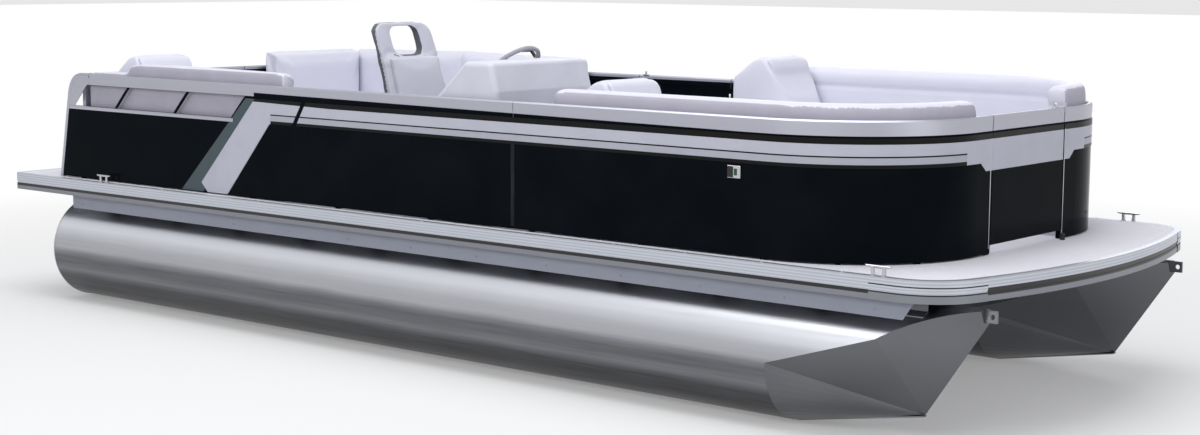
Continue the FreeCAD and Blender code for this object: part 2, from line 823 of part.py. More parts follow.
def make_side_fences():
    """Both sides of the fence as panels split at the seam, the side gate and the bow gate."""
    gate_edge = bow_gate_width / 2
    half = fence_shell().common(box(-deck_length, deck_length, 0, beam, 0, 2 * rail_top))
    half = half.cut(box(0, deck_length, -overrun, gate_edge, 0, 2 * rail_top))
    half = fused([half] + side_posts()).common(wing_keep())
    for cutter in window_cutters():
        half = half.cut(cutter)
    half = fused([half, wing_tube()])
    half = half.cut(box(wing_aft - beam, deck_length, 0, beam, 0, deck_top))

    seam = seam_gap / 2
    aft_box = box(-deck_length, panel_seam - seam, 0, beam, 0, 2 * rail_top)
    bow_box = box(panel_seam + seam, deck_length, 0, beam, 0, 2 * rail_top)
    port_aft_box = box(-deck_length, side_gate_aft, 0, beam, 0, 2 * rail_top)
    port_bow_box = box(side_gate_front, deck_length, 0, beam, 0, 2 * rail_top)
    aft_post = post_at_side(side_gate_aft - post_width / 2, deck_top, top_rail_foot)
    bow_post = post_at_side(side_gate_front + post_width / 2, deck_top, top_rail_foot)
    side_hinges = [placed_hinge(shape, side_gate_front, side_inner - hinge_axis_offset, 90)
                   for shape in hinges(fixed_hinge, fence_foot, top_rail_foot)]
    bow_hinges = [placed_hinge(shape, fence_bow - fence_depth - hinge_axis_offset, -gate_edge, 0)
                  for shape in hinges(fixed_hinge, deck_top + gate_sill, top_rail_foot)]
    return {
        "fence_starboard_aft": mirrored(half.common(aft_box)),
        "fence_starboard_bow": fused([mirrored(half.common(bow_box))] + bow_hinges),
        "fence_port_aft": fused([half.common(port_aft_box), aft_post]),
        "fence_port_bow": fused([half.common(port_bow_box), bow_post] + side_hinges),
    }


def make_stern_fences():
    """Fixed panels on both sides of the stern gate."""
    origin_x = stern_fence_face + hinge_axis_offset + fence_depth
    gate_port = stern_gate_starboard + stern_gate_width
    starboard = fused(flat_panel(-stern_gate_starboard, side_inner, fence_foot))
    port = fused(flat_panel(-side_inner, -gate_port, fence_foot))
    gate_hinges = [placed_hinge(shape, origin_x, gate_port, 180)
                   for shape in hinges(fixed_hinge, fence_foot, top_rail_foot)]
    return {
        "fence_stern_starboard": placed_hinge(starboard, origin_x, 0, 180),
        "fence_stern_port": fused([placed_hinge(port, origin_x, 0, 180)] + gate_hinges),
    }


def make_gates():
    stern_x = stern_fence_face + hinge_axis_offset + fence_depth
    bow = make_gate(bow_gate_width, deck_top + gate_sill, band_foot - bow_band_drop)
    side = make_gate(side_gate_width, fence_foot, band_foot)
    stern = make_gate(stern_gate_width, fence_foot, band_foot)
    return {
        "bow_gate": placed_hinge(bow, fence_bow - fence_depth - hinge_axis_offset, -bow_gate_width / 2, 0),
        "side_gate": placed_hinge(side, side_gate_front, side_inner - hinge_axis_offset, 90),
        "stern_gate": placed_hinge(stern, stern_x, stern_gate_starboard + stern_gate_width, 180),
    }


def side_band():
    """Raised pale band of the port side with its slanted after graphic."""
    top = stripe_foot
    ring = fence_ring(-band_thickness, 0, band_foot - bow_band_drop, top)
    ring = ring.common(box(-deck_length, deck_length, bow_gate_width / 2, beam, 0, 2 * rail_top))
    step_far = bow_gate_width / 2 + band_step_far
    step_near = bow_gate_width / 2 + band_step_near
    step_foot = band_foot - bow_band_drop
    low = step_foot - overrun
    wedge = [(beam, low), (step_near, low), (step_near, step_foot), (step_far, band_foot), (beam, band_foot)]
    ring = ring.cut(prism_x(wedge, -deck_length, deck_length))
    slant = slash_notch * (top - band_foot) / band_height
    band_aft = slash_top_front + slash_gap
    notch_aft = band_aft - slant
    far = -deck_length
    start = [(far, low), (notch_aft, low), (notch_aft, band_foot), (band_aft, top), (far, top)]
    ring = ring.cut(prism_y(start, 0, beam))
    slash_foot = deck_top + slash_foot_height
    bar = [
        (slash_foot_aft, slash_foot + slash_chamfer),
        (slash_top_aft, top),
        (slash_top_front, top),
        (slash_top_front - slant, band_foot),
        (slash_top_front - slash_hook, band_foot),
        (slash_foot_front, slash_foot),
        (slash_foot_aft + slash_chamfer, slash_foot),
    ]
    graphic = prism_y(bar, side_outer, side_outer + band_thickness)
    return ring, graphic


def make_bands():
    ring, graphic = side_band()
    port = ring.cut(box(side_gate_aft, side_gate_front, 0, beam, 0, 2 * rail_top))
    port = Part.makeCompound(port.Solids + graphic.Solids)
    starboard = Part.makeCompound([mirrored(solid) for solid in ring.Solids + graphic.Solids])
    return {"band_port": port, "band_starboard": starboard}


def make_side_lights():
    half = light_length / 2
    low = deck_top + light_level - light_height / 2
    aft, front = light_place - half, light_place + half
    lamp = box(aft, front, side_outer, side_outer + light_depth, low, low + light_height)
    outer = [edge for edge in lamp.Edges if min(v.Y for v in edge.Vertexes) > side_outer + light_depth / 2]
    lamp = lamp.makeFillet(light_depth / 3, outer)
    return Part.makeCompound([lamp, mirrored(lamp)])


def make_gate_stop():
    x = fence_bow + band_thickness + gate_gap + gate_stop_diameter / 2
    y = bow_gate_width / 2 - gate_stop_reach
    foot = Vector(x, y, deck_top)
    body = Part.makeCylinder(gate_stop_diameter / 2, gate_stop_height, foot, UP)
    rim = [edge for edge in body.Edges if edge.BoundBox.ZMin > deck_top + gate_stop_height / 2]
    return body.makeChamfer(gate_stop_diameter / 6, rim)


def softened(shape, ease):
    """Eased upper edges of a cushion."""
    high = shape.BoundBox.ZMax
    edges = [edge for edge in shape.Edges if edge.BoundBox.ZMin > high - ease / 2]
    return shape.makeChamfer(ease, edges)


def lounge_sides():
    """Outboard face, back's front face, seat's front face and base's front face from the centreline."""
    outboard = side_inner - lounge_inset
    back_front = outboard - back_thickness
    base_front = outboard - lounge_depth
    return outboard, back_front, base_front - seat_overhang, base_front


def straight_base(aft, front, lid_aft, lid_front):
    """Port-side moulded base with an open locker under its lid."""
    outboard, back_front, _, base_front = lounge_sides()
    base_top = deck_top + base_height
    base = box(aft, front, base_front, outboard, deck_top, base_top)
    locker = box(lid_aft + base_wall, lid_front - base_wall, base_front + base_wall, back_front - base_wall,
                 deck_top + base_wall, base_top + overrun)
    return base.cut(locker)


def straight_lid(aft, front):
    _, back_front, seat_front, _ = lounge_sides()
    low = deck_top + base_height + seat_gap
    seat = box(aft, front, seat_front, back_front - lid_gap, low, low + seat_thickness)
    return softened(seat, cushion_ease / 2)


def straight_back(aft, front, height):
    outboard, back_front, _, _ = lounge_sides()
    low = deck_top + base_height + seat_gap
    return softened(box(aft, front, back_front, outboard, low, deck_top + height), cushion_ease)


def bolster(aft, inboard, outboard, height):
    """Upright pad across a lounge, its front face leaning aft."""
    low = deck_top + base_height + seat_gap
    top = deck_top + height
    crest = aft + bolster_setback
    outline = [
        (aft, low),
        (aft, top - bolster_shoulder_drop),
        (crest, top),
        (crest + bolster_crest, top),
        (aft + bolster_foot, low),
    ]
    return softened(prism_y(outline, inboard, outboard), cushion_ease)


def make_bow_lounge(length, height, pad_height, name):
    """Port-side bow lounge: base, locker lid, corner seat, back along the fence and after bolster."""
    outer = fence_depth + lounge_inset
    aft = fence_bow - length
    corner = fence_bow - fence_corner_radius
    base_top = deck_top + base_height
    keep = box(corner, deck_length, bow_lounge_end, beam, 0, 2 * rail_top)
    lid_aft = aft + bolster_foot + lid_gap
    lid_front = corner - lid_gap
    outboard, back_front, seat_front, base_front = lounge_sides()
    base_corner = fence_ring(outer, outer + lounge_depth, deck_top, base_top).common(keep)
    base = fused([straight_base(aft, corner, lid_aft, lid_front), base_corner])
    low = base_top + seat_gap
    seat_rear = outer + back_thickness + lid_gap
    seat_lip = outer + lounge_depth + seat_overhang
    seat = fence_ring(seat_rear, seat_lip, low, low + seat_thickness)
    seat = softened(seat.common(keep), cushion_ease / 2)
    back_keep = box(aft, deck_length, bow_lounge_end, beam, 0, 2 * rail_top)
    back = fence_ring(outer, outer + back_thickness, low, deck_top + height).common(back_keep)
    back = softened(back, cushion_ease)
    return {
        name + "_base": base,
        name + "_lid": straight_lid(lid_aft, lid_front),
        name + "_corner_seat": seat,
        name + "_back": back,
        name + "_bolster": bolster(aft, seat_front, back_front - seat_gap, pad_height),
    }


def make_aft_starboard_lounge():
    _, back_front, seat_front, _ = lounge_sides()
    aft, front = aft_lounge_aft, aft_starboard_front
    pad_aft = aft + chaise_setback
    lid_aft = pad_aft + bolster_foot + lid_gap
    step = aft + chaise_end_length
    back = fused([straight_back(step, front, low_back_height), straight_back(aft, step, chaise_end_height)])
    parts = {
        "aft_starboard_base": straight_base(aft, front, lid_aft, front),
        "aft_starboard_lid": straight_lid(lid_aft, front),
        "aft_starboard_back": back,
        "aft_starboard_bolster": bolster(pad_aft, seat_front, back_front - seat_gap, bolster_height),
    }
    return {name: mirrored(shape) for name, shape in parts.items()}


def make_aft_port_lounge():
    """L-shaped lounge: a long side run and a return across the stern."""
    outboard, back_front, seat_front, base_front = lounge_sides()
    aft, front = aft_lounge_aft, aft_port_front
    base_top = deck_top + base_height
    low = base_top + seat_gap
    return_front = aft + return_depth
    lid_aft = return_front + seat_overhang + lid_gap
    base = straight_base(aft, front, lid_aft, front)
    base = fused([base, box(aft, return_front, aft_return_end, base_front, deck_top, base_top)])
    seat_rear = aft + back_thickness + lid_gap
    lip, rear_limit = return_front + seat_overhang, back_front - lid_gap
    corner_seat = box(seat_rear, lip, aft_return_end, rear_limit, low, low + seat_thickness)
    back_limit, back_top = back_front - seat_gap, deck_top + return_back_height
    return_back = box(aft, aft + back_thickness, aft_return_end, back_limit, low, back_top)
    return {
        "aft_port_base": base,
        "aft_port_lid": straight_lid(lid_aft, front),
        "aft_port_corner_seat": softened(corner_seat, cushion_ease / 2),
        "aft_port_back": straight_back(aft, front, port_back_height),
        "aft_port_return_back": softened(return_back, cushion_ease),
    }


def dash_angle():
    return math.degrees(math.atan2(dash_height - dash_foot, dash_depth))


def on_dash(shape, share, y):
    """Shape standing on the sloped dash, its own +Z along the slope's normal."""
    turned_shape = turned(shape, ORIGIN, PORT, -dash_angle())
    rise = dash_height - dash_foot
    return moved(turned_shape, console_aft + share * dash_depth, y, deck_top + dash_foot + share * rise)


def make_console():
    """Helm console with a sloped dash and the bore for the steering shaft."""
    outline = [
        (console_aft, deck_top),
        (console_front, deck_top),
        (console_front, deck_top + console_brow),
        (console_aft + dash_depth + dash_top_depth, deck_top + dash_height),
        (console_aft + dash_depth, deck_top + dash_height),
        (console_aft, deck_top + dash_foot),
    ]
    body = prism_y(outline, console_outboard, console_inboard)
    moulded_edges = [edge for edge in body.Edges if edge.BoundBox.ZMax > deck_top + overrun]
    body = body.makeFillet(console_round, moulded_edges)
    bore_radius = column_diameter / 2 + column_clearance
    bore_foot = Vector(0, 0, -column_length - overrun)
    bore = cylinder(bore_radius, bore_foot, Vector(0, 0, overrun))
    return body.cut(on_dash(bore, wheel_place_share, chair_offset))


def make_throttle():
    """Engine control box on the dash with its lever at idle."""
    half = throttle_width / 2
    housing = box(-throttle_length / 2, throttle_length / 2, -half, half, 0, throttle_height)
    top = [edge for edge in housing.Edges if edge.BoundBox.ZMin > throttle_height / 2]
    housing = housing.makeFillet(throttle_width / 5, top)
    reach = throttle_height + lever_length
    lever_half = lever_thickness / 2
    lever = box(-lever_half, lever_half, half, half + lever_thickness, throttle_height / 2, reach)
    grip = cylinder(lever_thickness, Vector(0, -half, reach), Vector(0, half + lever_thickness, reach))
    control = fused([housing, lever, grip])
    return on_dash(control, wheel_place_share, chair_offset + throttle_offset)


def make_steering_wheel():
    """Three-spoke wheel on its shaft, square to the dash."""
    rim_radius = wheel_rim / 2
    ring_radius = wheel_diameter / 2 - rim_radius
    level = wheel_standoff + wheel_dish
    section = []
    for index in range(wheel_rim_sides):
        turn = 2 * math.pi * index / wheel_rim_sides
        away, rise = rim_radius * math.cos(turn), rim_radius * math.sin(turn)
        section.append(Vector(ring_radius + away, 0, level + rise))
    parts = [polygon_face(section).revolve(ORIGIN, UP, 360)]
    hub_foot, hub_top = wheel_standoff - hub_depth / 2, wheel_standoff + hub_depth / 2
    parts.append(cylinder(hub_diameter / 2, Vector(0, 0, hub_foot), Vector(0, 0, hub_top)))
    parts.append(cylinder(column_diameter / 2, Vector(0, 0, -column_length), Vector(0, 0, wheel_standoff)))
    for index in range(wheel_spokes):
        angle = 360 * index / wheel_spokes + 180
        start = Vector(hub_diameter / 3, 0, wheel_standoff)
        end = Vector(ring_radius, 0, level)
        side = Vector(0, spoke_width / 2, 0)
        end_side = side * spoke_taper_share
        face = polygon_face([start - side, start + side, end + end_side, end - end_side])
        spoke = face.extrude(Vector(0, 0, spoke_thickness))
        parts.append(turned(moved(spoke, 0, 0, -spoke_thickness / 2), ORIGIN, UP, angle))
    return on_dash(fused(parts), wheel_place_share, chair_offset)


def make_pedestal():
    """Chair post with the bore that the chair's spigot turns in."""
    foot = Vector(post_place, chair_offset, deck_top)
    disc = Part.makeCylinder(pedestal_foot / 2, pedestal_foot_height, foot, UP)
    cone_foot = foot + UP * pedestal_foot_height
    cone = Part.makeCone(pedestal_post, pedestal_post / 2, pedestal_post / 2, cone_foot, UP)
    post = Part.makeCylinder(pedestal_post / 2, pedestal_height, foot, UP)
    bore_radius = spigot_diameter / 2 + spigot_clearance
    bore_foot = foot + UP * (pedestal_height - spigot_depth - lid_gap)
    bore = Part.makeCylinder(bore_radius, spigot_depth + overrun, bore_foot, UP)
    return fused([disc, cone, post]).cut(bore)


def chair_levels():
    """Heights of the chair's pan, its cushion's underside and the top of its back."""
    pan_foot = deck_top + pedestal_height + lid_gap
    return pan_foot, pan_foot + chair_pan, deck_top + chair_top


def chair_back_profile(foot, top, near, far, side_drop):
    """Slab of the leaning, narrowing back between two distances ahead of its rear face."""
    pan_foot, _, chair_height = chair_levels()
    half = chair_width / 2 - side_drop
    lean = math.tan(math.radians(chair_back_lean))
    narrowing = chair_back_taper / (chair_height - pan_foot)
    outline, front_view = [], []
    for level, first, second in ((foot, near, far), (top, far, near)):
        rear = chair_place - chair_depth / 2 - (level - pan_foot) * lean
        outline += [(rear + first, level), (rear + second, level)]
        reach = half - (level - pan_foot) * narrowing
        hand = 1 if level > foot else -1
        front_view += [(chair_offset + hand * reach, level), (chair_offset - hand * reach, level)]
    slab = prism_y(outline, chair_offset - half, chair_offset + half)
    return slab.common(prism_x(front_view, chair_place - 2 * chair_depth, chair_place + chair_depth))


def make_chair():
    """Chair shell: pan, spigot, and a tall back with an open grab window near its top."""
    pan_foot, cushion_foot, top = chair_levels()
    half_width, half_depth = chair_width / 2, chair_depth / 2
    rear, front = chair_place - half_depth, chair_place + half_depth
    pan = box(rear, front, chair_offset - half_width, chair_offset + half_width, pan_foot, cushion_foot)
    back = chair_back_profile(pan_foot, top, 0, chair_back_depth * chair_shell_share, 0)
    top_edges = [edge for edge in back.Edges if edge.BoundBox.ZMin > top - overrun]
    top_edges = [edge for edge in top_edges if edge.BoundBox.YLength < overrun]
    back = back.makeFillet(chair_corner_round, top_edges)
    window_top = top - chair_window_drop
    window_half = chair_window_width / 2
    window_side = (chair_offset - window_half, chair_offset + window_half)
    window_foot = window_top - chair_window_height
    window = box(chair_place - chair_depth, chair_place, *window_side, window_foot, window_top)
    window_edges = [edge for edge in window.Edges if edge.BoundBox.XLength > chair_depth / 2]
    window = window.makeFillet(chair_window_height / 4, window_edges)
    spigot_foot = Vector(post_place, chair_offset, deck_top + pedestal_height - spigot_depth)
    spigot = cylinder(spigot_diameter / 2, spigot_foot, Vector(post_place, chair_offset, cushion_foot))
    return fused([pan, back.cut(window), spigot])


def make_chair_cushions():
    pan_foot, cushion_foot, top = chair_levels()
    inset = chair_shell
    shell_front = chair_back_depth * chair_shell_share
    window_foot = top - chair_window_drop - chair_window_height
    rear = chair_place - chair_depth / 2 + chair_back_depth
    front = chair_place + chair_depth / 2 - inset / 2
    half = chair_width / 2 - inset
    seat_foot = cushion_foot + seat_gap
    near, away = chair_offset - half, chair_offset + half
    seat = box(rear + lid_gap, front, near, away, seat_foot, cushion_foot + chair_seat)
    back_rear = shell_front + seat_gap
    back = chair_back_profile(seat_foot, window_foot - inset, back_rear, chair_back_depth, inset)
    return Part.makeCompound([softened(seat, cushion_ease / 2), back])


def main():
    os.makedirs("parts", exist_ok=True)
    parts = {
        "tube_starboard": make_tube(-1),
        "tube_port": make_tube(1),
        "riser_starboard": make_riser(-1),
        "riser_port": make_riser(1),
        "cross_members": make_cross_members(),
        "motor_pod": make_motor_pod(),
        "transom": make_transom(),
        "deck_panel": make_deck_panel(),
        "skirt_starboard": make_skirt(-1),
        "skirt_port": make_skirt(1),
        "cleats": make_cleats(),
        "side_lights": make_side_lights(),
        "gate_stop": make_gate_stop(),
        "helm_console": make_console(),
        "throttle": make_throttle(),
        "steering_wheel": make_steering_wheel(),
        "chair_pedestal": make_pedestal(),
        "chair_shell": make_chair(),
        "chair_cushions": make_chair_cushions(),
    }
    parts.update(make_edge_rails())
    parts.update(make_side_fences())
    parts.update(make_stern_fences())
    parts.update(make_gates())
    parts.update(make_bands())
    starboard = make_bow_lounge(bow_lounge_length, back_height, bolster_height, "bow_starboard")
    parts.update({name: mirrored(shape) for name, shape in starboard.items()})
    parts.update(make_bow_lounge(port_lounge_length, port_back_height, port_bolster_height, "bow_port"))
    parts.update(make_aft_starboard_lounge())
    parts.update(make_aft_port_lounge())
    for name, shape in sorted(parts.items()):
        litres = sum(solid.Volume for solid in shape.Solids) / 1e6
        print(name, len(shape.Solids), "solids", shape.isValid(), round(litres, 2))
        shape.exportStep(os.path.join("parts", name + ".step"))


main()
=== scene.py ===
import json
import math

import bpy
from bpy.props import FloatProperty, FloatVectorProperty, IntProperty, PointerProperty
from bpy.types import Operator, Panel, PropertyGroup
from mathutils import Matrix, Vector

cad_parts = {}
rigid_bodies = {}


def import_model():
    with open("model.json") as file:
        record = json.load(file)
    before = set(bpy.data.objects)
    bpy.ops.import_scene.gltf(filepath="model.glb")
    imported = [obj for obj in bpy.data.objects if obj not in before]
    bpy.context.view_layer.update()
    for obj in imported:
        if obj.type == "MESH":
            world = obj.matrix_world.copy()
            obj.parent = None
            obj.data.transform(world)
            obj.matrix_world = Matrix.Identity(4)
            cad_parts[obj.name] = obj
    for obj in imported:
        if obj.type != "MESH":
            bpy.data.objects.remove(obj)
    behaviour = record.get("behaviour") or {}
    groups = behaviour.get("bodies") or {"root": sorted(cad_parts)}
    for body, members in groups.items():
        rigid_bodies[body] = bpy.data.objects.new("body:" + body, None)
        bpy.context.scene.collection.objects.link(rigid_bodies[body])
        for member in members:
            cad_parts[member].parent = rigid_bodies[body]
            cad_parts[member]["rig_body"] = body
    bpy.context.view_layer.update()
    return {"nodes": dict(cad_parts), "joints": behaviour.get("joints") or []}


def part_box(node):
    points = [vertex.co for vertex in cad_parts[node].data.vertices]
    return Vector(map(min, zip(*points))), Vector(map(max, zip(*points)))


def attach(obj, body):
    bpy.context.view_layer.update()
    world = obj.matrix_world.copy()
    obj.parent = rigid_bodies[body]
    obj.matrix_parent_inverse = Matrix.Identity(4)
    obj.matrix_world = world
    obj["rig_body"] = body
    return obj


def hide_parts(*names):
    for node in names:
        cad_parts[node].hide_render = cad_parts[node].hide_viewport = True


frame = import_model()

bl_info = {
    "name": "Pontoon Boat Finish",
    "version": (1, 0, 0),
    "blender": (4, 5, 0),
    "location": "View3D > Sidebar > Pontoon Boat",
    "description": "Finishes, upholstery and trim for the packed pontoon boat",
    "category": "Object",
}

# Places and sizes in metres that several steps share

RAIL_DEPTH = 0.049
BAND_DEPTH = 0.137
CORNER_RADIUS = 0.715
SLASH_FRONT = -1.09
STRIPE_AFT = -1.235

DECK_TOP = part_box("deck_panel")[1].z
FENCE_LOW, FENCE_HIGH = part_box("fence_starboard_bow")
RAIL_TOP = FENCE_HIGH.z
RAIL_FOOT = RAIL_TOP - RAIL_DEPTH
SIDE = -FENCE_LOW.y
FENCE_BOW = FENCE_HIGH.x
BAND_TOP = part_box("band_starboard")[1].z
BAND_FOOT = BAND_TOP - BAND_DEPTH
EDGE_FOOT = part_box("edge_rail_starboard")[0].z
CORNER = Vector((FENCE_BOW - CORNER_RADIUS, SIDE - CORNER_RADIUS, 0))
CHAIR_LOW, CHAIR_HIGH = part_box("chair_shell")
UP = Vector((0, 0, 1))
SIDES = ((-1, "starboard"), (1, "port"))


def srgb(red, green, blue):
    """Linear colour of an 8-bit screen colour."""
    def channel(value):
        value /= 255
        return value / 12.92 if value <= 0.04045 else ((value + 0.055) / 1.055) ** 2.4
    return (channel(red), channel(green), channel(blue))


def colour_setting(name, text, default):
    return FloatVectorProperty(name=name, description=text, subtype="COLOR", size=3, min=0, max=1,
                               default=default)


def length_setting(name, text, default):
    return FloatProperty(name=name, description=text, subtype="DISTANCE", unit="LENGTH", min=0,
                         default=default)


def count_setting(name, text, default, low):
    return IntProperty(name=name, description=text, default=default, min=low)


class PONTOON_PG_colours(PropertyGroup):
    hull: colour_setting("Tubes", "Bare brushed aluminium of the tubes", (0.60, 0.615, 0.66))
    frame_metal: colour_setting("Deck frame", "Mill-finish members under the deck", (0.26, 0.27, 0.30))
    edge: colour_setting("Deck edge", "Satin deck-edge extrusion", srgb(196, 200, 210))
    rail: colour_setting("Top rail", "Satin rail of the fence", srgb(176, 177, 188))
    deck: colour_setting("Deck", "Woven vinyl deck covering", srgb(226, 226, 234))
    panel: colour_setting("Fence panels", "Gloss black fence skins", srgb(9, 14, 19))
    band: colour_setting("Band", "Pale raised band of the fence", srgb(184, 185, 197))
    teal: colour_setting("Stripe", "Dark teal slanted stripe", srgb(42, 62, 70))
    skirt: colour_setting("Skirt", "Painted side skirt", srgb(138, 142, 155))
    vinyl: colour_setting("Upholstery", "Marine vinyl of the lounges", srgb(214, 214, 227))
    chair: colour_setting("Chair", "Marine vinyl of the helm chair", srgb(192, 192, 205))
    piping: colour_setting("Piping", "Welt cord along the cushion seams", srgb(204, 204, 217))
    # The rests' colour is darker than the vinyl and also paints the shade on the cushions' outboard faces
    backer: colour_setting("Cushion backer", "Moulded rests of the cushions", srgb(172, 169, 183))
    # The chair shell's dark colour is its moulded rear and also paints shade there and inside its grab
    # window
    chair_rear: colour_setting("Chair shell", "Moulded rear and grab frame of the chair", srgb(84, 85, 94))
    base: colour_setting("Lounge bases", "Moulded lounge bases", srgb(196, 197, 208))
    console: colour_setting("Console", "Moulded helm console", srgb(206, 207, 219))


class PONTOON_PG_sizes(PropertyGroup):
    cushion_swell: length_setting("Cushion swell", "Farthest that a cushion face may crown", 0.020)
    cushion_ease: length_setting("Cushion ease", "How far a cushion starts inside its solid", 0.010)
    seam_depth: length_setting("Seam depth", "Depth of a sewn seam", 0.005)
    seam_width: length_setting("Seam width", "Half width of a sewn seam", 0.016)
    panel_length: length_setting("Cushion panel", "Length of one sewn panel of a long cushion", 0.95)
    piping_radius: length_setting("Piping radius", "Radius of the welt cord", 0.003)
    weld_radius: length_setting("Weld bead", "Radius of a weld bead on the tubes", 0.0035)
    screw_radius: length_setting("Screw head", "Radius of a trim screw head", 0.006)
    cushion_crown: length_setting("Cushion crown", "Height of a cushion's top over its solid", 0.006)
    cushion_rounding: count_setting("Cushion rounding", "Steps that round a cushion's edges", 15, 1)
    cushion_points: count_setting("Cushion points", "Points in a cushion before it is subdivided", 5600, 500)


# Shader nodes

def node(tree, kind, **settings):
    made = tree.nodes.new(kind)
    for key, value in settings.items():
        setattr(made, key, value)
    return made


def feed(tree, made, **values):
    """Link outputs to the named sockets of a node, or set their defaults."""
    for name, value in values.items():
        socket = made.inputs[name.replace("_", " ")]
        if isinstance(value, bpy.types.NodeSocket):
            tree.links.new(value, socket)
        else:
            socket.default_value = value
    return made


def math_node(tree, operation, *values):
    made = node(tree, "ShaderNodeMath", operation=operation)
    for socket, value in zip(made.inputs, values):
        if isinstance(value, bpy.types.NodeSocket):
            tree.links.new(value, socket)
        else:
            socket.default_value = value
    return made.outputs[0]


def both(tree, first, second):
    return math_node(tree, "MULTIPLY", first, second)


def either(tree, first, second):
    return math_node(tree, "MAXIMUM", first, second)


def over(tree, value, limit):
    return math_node(tree, "GREATER_THAN", value, limit)


def under(tree, value, limit):
    return math_node(tree, "LESS_THAN", value, limit)


def plus(tree, value, factor, base):
    return math_node(tree, "MULTIPLY_ADD", value, factor, base)


def remap(tree, value, low, high, new_low=0.0, new_high=1.0):
    made = node(tree, "ShaderNodeMapRange")
    feed(tree, made, Value=value, From_Min=low, From_Max=high, To_Min=new_low, To_Max=new_high)
    return made.outputs["Result"]


def spread(tree, grain, new_low=0.0, new_high=1.0):
    """Stretch the middle of a noise, where most of it lies, to a new range."""
    return remap(tree, grain, 0.3, 0.7, new_low, new_high)


def mix_colour(tree, factor, first, second):
    made = feed(tree, node(tree, "ShaderNodeMix", data_type="RGBA"), Factor=factor)
    for name, given in (("A", first), ("B", second)):
        socket = [s for s in made.inputs if s.name == name and s.type == "RGBA"][0]
        if isinstance(given, bpy.types.NodeSocket):
            tree.links.new(given, socket)
        else:
            socket.default_value = (*given, 1.0)
    return [s for s in made.outputs if s.type == "RGBA"][0]


def noise(tree, place, scale, detail=3.0, roughness=0.5):
    made = node(tree, "ShaderNodeTexNoise")
    return feed(tree, made, Vector=place, Scale=scale, Detail=detail, Roughness=roughness).outputs["Fac"]


def stretched(tree, place, scale):
    return feed(tree, node(tree, "ShaderNodeMapping"), Vector=place, Scale=scale).outputs["Vector"]


def parts_of(tree, vector):
    """X, Y and Z outputs of a vector."""
    return feed(tree, node(tree, "ShaderNodeSeparateXYZ"), Vector=vector).outputs


def wave(tree, place, axis, scale, distortion=0.0):
    made = node(tree, "ShaderNodeTexWave", bands_direction=axis)
    return feed(tree, made, Vector=place, Scale=scale, Distortion=distortion).outputs["Fac"]


def seen_rays(tree):
    """Mask of the rays that show a backdrop: direct, mirrored and through glass."""
    path = node(tree, "ShaderNodeLightPath").outputs
    seen = either(tree, path["Is Camera Ray"], path["Is Glossy Ray"])
    return either(tree, seen, path["Is Transmission Ray"])


# Shader groups that several finishes share

def brushed_group(tree, given):
    """Rolling lines and soft patches of bare sheet metal."""
    lines = noise(tree, stretched(tree, given["Vector"], given["Line Scale"]), 1.0, 4.0, 0.6)
    return {"Lines": lines, "Patches": noise(tree, given["Vector"], 2.4), "Height": lines}


def vinyl_group(tree, given):
    """Leather-like cells with fine creases."""
    cells = node(tree, "ShaderNodeTexVoronoi", feature="DISTANCE_TO_EDGE")
    feed(tree, cells, Vector=given["Vector"], Scale=given["Cell Scale"])
    pebble = remap(tree, cells.outputs["Distance"], 0.0, 0.25)
    creases = noise(tree, given["Vector"], 60.0, 4.0)
    return {"Height": plus(tree, creases, 0.5, pebble), "Mottle": noise(tree, given["Vector"], 5.0)}


def weave_group(tree, given):
    """Crossed yarns of a woven covering."""
    warp, weft = [wave(tree, given["Vector"], axis, given["Yarns"], 0.6) for axis in ("X", "Y")]
    return {"Height": both(tree, warp, weft), "Tint": noise(tree, given["Vector"], 90.0, 2.0),
            "Soil": noise(tree, given["Vector"], 1.6, 4.0)}


def wear_group(tree, given):
    """Faint dust and handling marks."""
    dust = noise(tree, given["Vector"], given["Mark Scale"], 5.0)
    marks = noise(tree, stretched(tree, given["Vector"], (14.0, 60.0, 60.0)), 2.0, 6.0, 0.7)
    return {"Dust": remap(tree, dust, 0.42, 0.72), "Scuffs": remap(tree, marks, 0.62, 0.74)}


def level_group(tree, given):
    """Mask between two heights above the floor."""
    height = parts_of(tree, given["Vector"])["Z"]
    return {"Mask": both(tree, over(tree, height, given["Low"]), under(tree, height, given["High"]))}


def slope_group(tree, given):
    """Mask above a height that changes steadily from one place to another along the boat."""
    place = parts_of(tree, given["Vector"])
    level = remap(tree, place["X"], given["Aft"], given["Bow"], given["Aft Level"], given["Bow Level"])
    return {"Above": over(tree, place["Z"], level)}


# The title, values and maker of each group, where a value of None stands for a vector
GROUP_MAKERS = {
    "brushed": ("Brushed metal", {"Line Scale": None}, brushed_group),
    "vinyl": ("Vinyl grain", {"Cell Scale": 420.0}, vinyl_group),
    "weave": ("Woven covering", {"Yarns": 260.0}, weave_group),
    "wear": ("Handling wear", {"Mark Scale": 9.0}, wear_group),
    "level": ("Level band", {"Low": 0.0, "High": 1.0}, level_group),
    "slope": ("Sloping line", {"Aft": -1.2, "Bow": 2.2, "Aft Level": 1.0, "Bow Level": 1.0}, slope_group),
}
GROUPS = {}


def make_group(title, values, maker):
    """Shader group that takes a place and some values and gives what its maker returns."""
    tree = bpy.data.node_groups.new(title, "ShaderNodeTree")
    for name, default in {"Vector": None, **values}.items():
        kind = "NodeSocketVector" if default is None else "NodeSocketFloat"
        socket = tree.interface.new_socket(name=name, in_out="INPUT", socket_type=kind)
        if default is not None:
            socket.default_value = default
    made = maker(tree, tree.nodes.new("NodeGroupInput").outputs)
    for name in made:
        tree.interface.new_socket(name=name, in_out="OUTPUT", socket_type="NodeSocketFloat")
    feed(tree, tree.nodes.new("NodeGroupOutput"), **made)
    return tree


def use_group(tree, key, place, **values):
    """Outputs of a shared group, which is made on first use, with its own values here."""
    if key not in GROUPS:
        GROUPS[key] = make_group(*GROUP_MAKERS[key])
    return feed(tree, node(tree, "ShaderNodeGroup", node_tree=GROUPS[key]), Vector=place, **values).outputs


